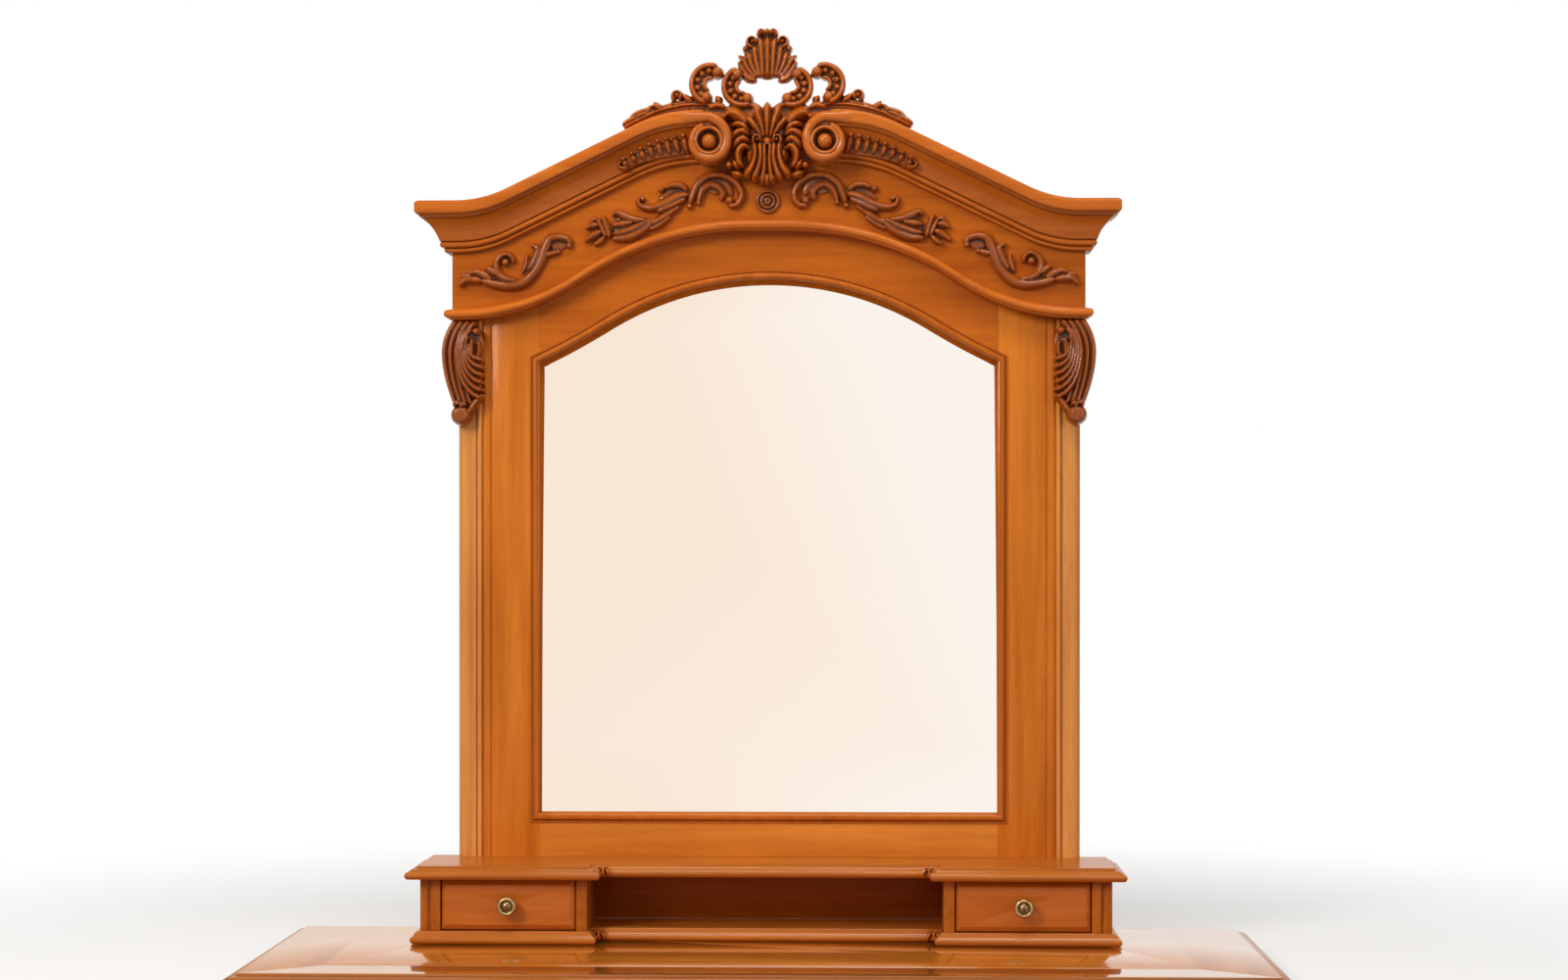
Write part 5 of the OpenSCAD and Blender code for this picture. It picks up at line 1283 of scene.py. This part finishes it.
# Painted shade in the rosette's two quirks, and its middle painted darker too
rosette_grooves = ((11.0, 1.5, 1.0), (5.7, 1.2, 1.5), (0.4, 0.9, 3.0))
placed("turned_rosette", turned_mesh("turned_rosette", rosette_profile, rosette_centre, rosette_grooves),
       carved_wood, "hutch", "carved_wood", "frieze_rosette")


# ---- Corbels ----
# Carved brackets at the heads of the pilasters: long flutes follow the swelling outer edge down to
# a rolled foot, and curved ribs hang from a small leaf and ball beside the frame.

corbel_h = 141.0
corbel_w = 37.0
corbel_in = frame_half / mm - corbel_w
corbel_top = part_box("right_corbel")[1].z
corbel_proud = (frame_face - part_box("right_corbel")[0].y) / mm
corbel_out = frame_half / mm - 2.0
swell = 21.0
widest = 0.31 * corbel_h


def corbel_edge(drop):
    # How far out the corbel's edge is, some way down from its top
    if drop < widest:
        return corbel_out + swell * (1.0 - 0.75 * (1.0 - drop / widest) ** 2)
    return corbel_out + swell * math.cos(math.radians(150.0 * (drop - widest) / corbel_h))


corbel = Carving()
flute_l = 113.0
drops = np.linspace(0.0, flute_l, 12)
for k in range(4):
    step = 6.6 + 1.8 * (1.0 - drops / flute_l)
    corbel.stroke([(corbel_edge(d) - 3.6 - k * s, -d) for d, s in zip(drops, step)], list(step * 1.08),
                  [v * (corbel_proud - 2.5 - 1.2 * k) for v in (0.80, 0.95, 1.0, 0.96, 0.88, 0.84)],
                  side=0.66)
corbel.stroke([(corbel_in + 22.0, -4.0), (corbel_in + 22.0, -60.0), (corbel_in + 24.0, -104.0)],
              [44.0, 40.0, 16.0], corbel_proud * 0.55, side=0.9)
for i in range(6):
    across, down = 20.0 + 3.5 * i, 12.0 + 10.2 * i
    turn = np.radians(np.linspace(62.0 if i > 2 else 24.0, -90.0, 14))
    corbel.stroke([(corbel_in - 1.0 + across * math.cos(a), -41.0 + (34.0 if a > 0 else down) * math.sin(a))
                   for a in turn], [5.0, 8.2, 8.8, 8.0], [corbel_proud * v for v in (0.74, 0.86, 0.90, 0.84)],
                  side=0.62, smooth=0)
for line, widths, height in ((((7, -28), (6, -41), (9, -52)), (5, 7.5, 5), 0.86),
                             (((15, -24), (16, -36), (15, -48)), (5, 7.5, 5), 0.90),
                             (((21, -20), (23.5, -32), (22, -43)), (4, 6.5, 4.5), 0.84),
                             (((0, -99), (7, -104), (15, -114), (24, -128)), (8, 11, 11, 8), 0.74)):
    corbel.stroke([(corbel_in + x, z) for x, z in line], widths, corbel_proud * height, side=0.6)
corbel.eye((corbel_in + 10.0, -15.5), 6.0, corbel_proud - 1.5, full=0.6)
corbel.eye((frame_half / mm - 6.0, 15.0 - corbel_h), 14.6, corbel_proud - 2.0, full=0.42)
for x, z in ((corbel_in + 27.0, -113.0), (corbel_in + 36.0, -112.0)):
    corbel.curl((x, z), (3.6, 2.8), (-90, 220), 3.6, corbel_proud, side=0.8)
    corbel.eye((x, z), 2.6, corbel_proud + 0.5, full=0.6)
corbel.points = [(max(x, corbel_in), y, z) for x, y, z in corbel.points]
corbel_wood = lacquered("corbel_wood", (0.340, 0.076, 0.008), (0.200, 0.036, 0.003), rough=0.24,
                        coat=0.7, coat_rough=0.09, rub=0.55, **carved_look)
for side, sign in (("left", -1), ("right", 1)):
    carved(f"{side}_leaf_corbel", f"{side}_corbel", corbel_wood,
           [in_place(corbel, (0.0, corbel_top), (sign,), frame_face)], frame_face, voxel=0.75)


# ---- Gallery leaves ----
# Small leaves carved in the four inner corners of the gallery's two boards, where the middle steps
# back. They are glued into the corners.

corner_leaf = Carving()
for line, width in ((((0.0, 14.5), (0.5, 7.0), (0.0, 1.5)), 5.6),
                    (((-2.5, 14.0), (-6.5, 8.5), (-7.5, 3.5)), 4.8),
                    (((2.5, 14.0), (6.5, 8.5), (7.5, 3.5)), 4.8)):
    corner_leaf.stroke(line, [0.7 * width, width, 0.8 * width], [7.0, 9.0, 7.5], side=0.4)
corner_leaf.curl((-3.8, 13.2), (2.4, 1.8), (-60, 200), 2.8, 8.5)
corner_leaf.curl((3.8, 13.2), (2.4, 1.8), (240, -20), 2.8, 8.5)
corner_leaf.eye((0.0, 8.0), 6.5, 5.0, full=0.5)
leaf_parts = []
for board_low, nose in ((base_low.z, base_nose), (shelf_low.z, shelf_nose)):
    for sign in both:
        corner = (sign * (niche_half - (nose + 1.0) * mm), board_low)
        leaf_parts.append(in_place(corner_leaf, corner, (1,), middle_face - nose * mm))
leaf_wood = lacquered("leaf_wood", (0.50, 0.130, 0.012), (0.30, 0.064, 0.004), rough=0.26, coat=0.5,
                      coat_rough=0.09, rub=0.5, **carved_look)
carved("gallery_corner_leaves", "corner_leaves", leaf_wood, leaf_parts, middle_face, voxel=0.5)


# ---- Screws ----
# Steel screws hold the battens and the gallery, and brass ones hold the mirror's clips. They show
# only from behind and below. A clip screw has a low, flat, round head with a cross recess.


def head_places(node):
    # Middle and size of each separate screw in a node, found from its joined-up triangles
    shape = welded(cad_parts[node].data, node_weld)
    seen, found = set(), []
    for start in shape.verts:
        if start.index in seen:
            continue
        group, stack = [], [start]
        seen.add(start.index)
        while stack:
            vertex = stack.pop()
            group.append(vertex.co.copy())
            for edge in vertex.link_edges:
                other = edge.other_vert(vertex)
                if other.index not in seen:
                    seen.add(other.index)
                    stack.append(other)
        low = Vector([min(p[i] for p in group) for i in range(3)])
        high = Vector([max(p[i] for p in group) for i in range(3)])
        found.append((low, high))
    shape.free()
    return found


def screw_tree():
    # Geometry Nodes: a cross-recessed head, its face towards +Z, turned to a given axis on each point
    tree, keys, given, end = new_tree(
        "cross_head_screws", "GeometryNodeTree",
        {"Geometry": "Geometry", "Head Radius": "Float", "Head Height": "Float", "Recess Width": "Float",
         "Turn": "Vector", "Finish": "Material"},
        {"Geometry": "Geometry"})
    head = linked(tree, "GeometryNodeMeshCylinder", Vertices=24, Radius=given["Head Radius"],
                  Depth=given["Head Height"])
    lift = linked(tree, "ShaderNodeCombineXYZ", Z=calculated(tree, "MULTIPLY", given["Head Height"], 0.6))
    # The cross is cut one bar after the other, so no face is left over where the bars meet
    cut_head = head.outputs["Mesh"]
    for long_way, short_way in (("X", "Y"), ("Y", "X")):
        size = linked(tree, "ShaderNodeCombineXYZ", Z=given["Head Height"],
                      **{long_way: given["Head Radius"], short_way: given["Recess Width"]})
        bar = linked(tree, "GeometryNodeMeshCube", Size=size.outputs[0])
        moved = linked(tree, "GeometryNodeTransform", Geometry=bar.outputs["Mesh"],
                       Translation=lift.outputs[0])
        recessed = tree.nodes.new("GeometryNodeMeshBoolean")
        recessed.operation = "DIFFERENCE"
        recessed.solver = "EXACT"
        filled(tree, recessed, Mesh_1=cut_head, Mesh_2=moved.outputs["Geometry"])
        cut_head = recessed.outputs["Mesh"]
    set_on_points(tree, given, end, cut_head, Rotation=given["Turn"])
    return tree, keys


cross_head_screws, screw_keys = screw_tree()


def screw_heads(name, points, radius, height, turn, finish):
    # Heads of one size on the points, all turned the same way
    made = on_points(name, points, cross_head_screws, screw_keys, Head_Radius=radius * mm,
                     Head_Height=height * mm, Recess_Width=0.28 * radius * mm, Turn=turn, Finish=finish)
    made.name = name
    made.shade_smooth()
    made.set_sharp_from_angle(angle=math.radians(30.0))
    return made


clip_screws = head_places("clip_screws")
clip_points = [((low.x + high.x) / 2, high.y - 0.75 * mm, (low.z + high.z) / 2) for low, high in clip_screws]
placed("clip_screw_heads", screw_heads("clip_screw_heads", clip_points, 3.0, 1.5,
                                       (math.radians(-90.0), 0.0, 0.0), knob_brass),
       knob_brass, "hutch", "brass", "clip_screws")
for screw_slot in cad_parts["assembly_screws"].material_slots:
    screw_slot.link = "OBJECT"
    screw_slot.material = screw_steel
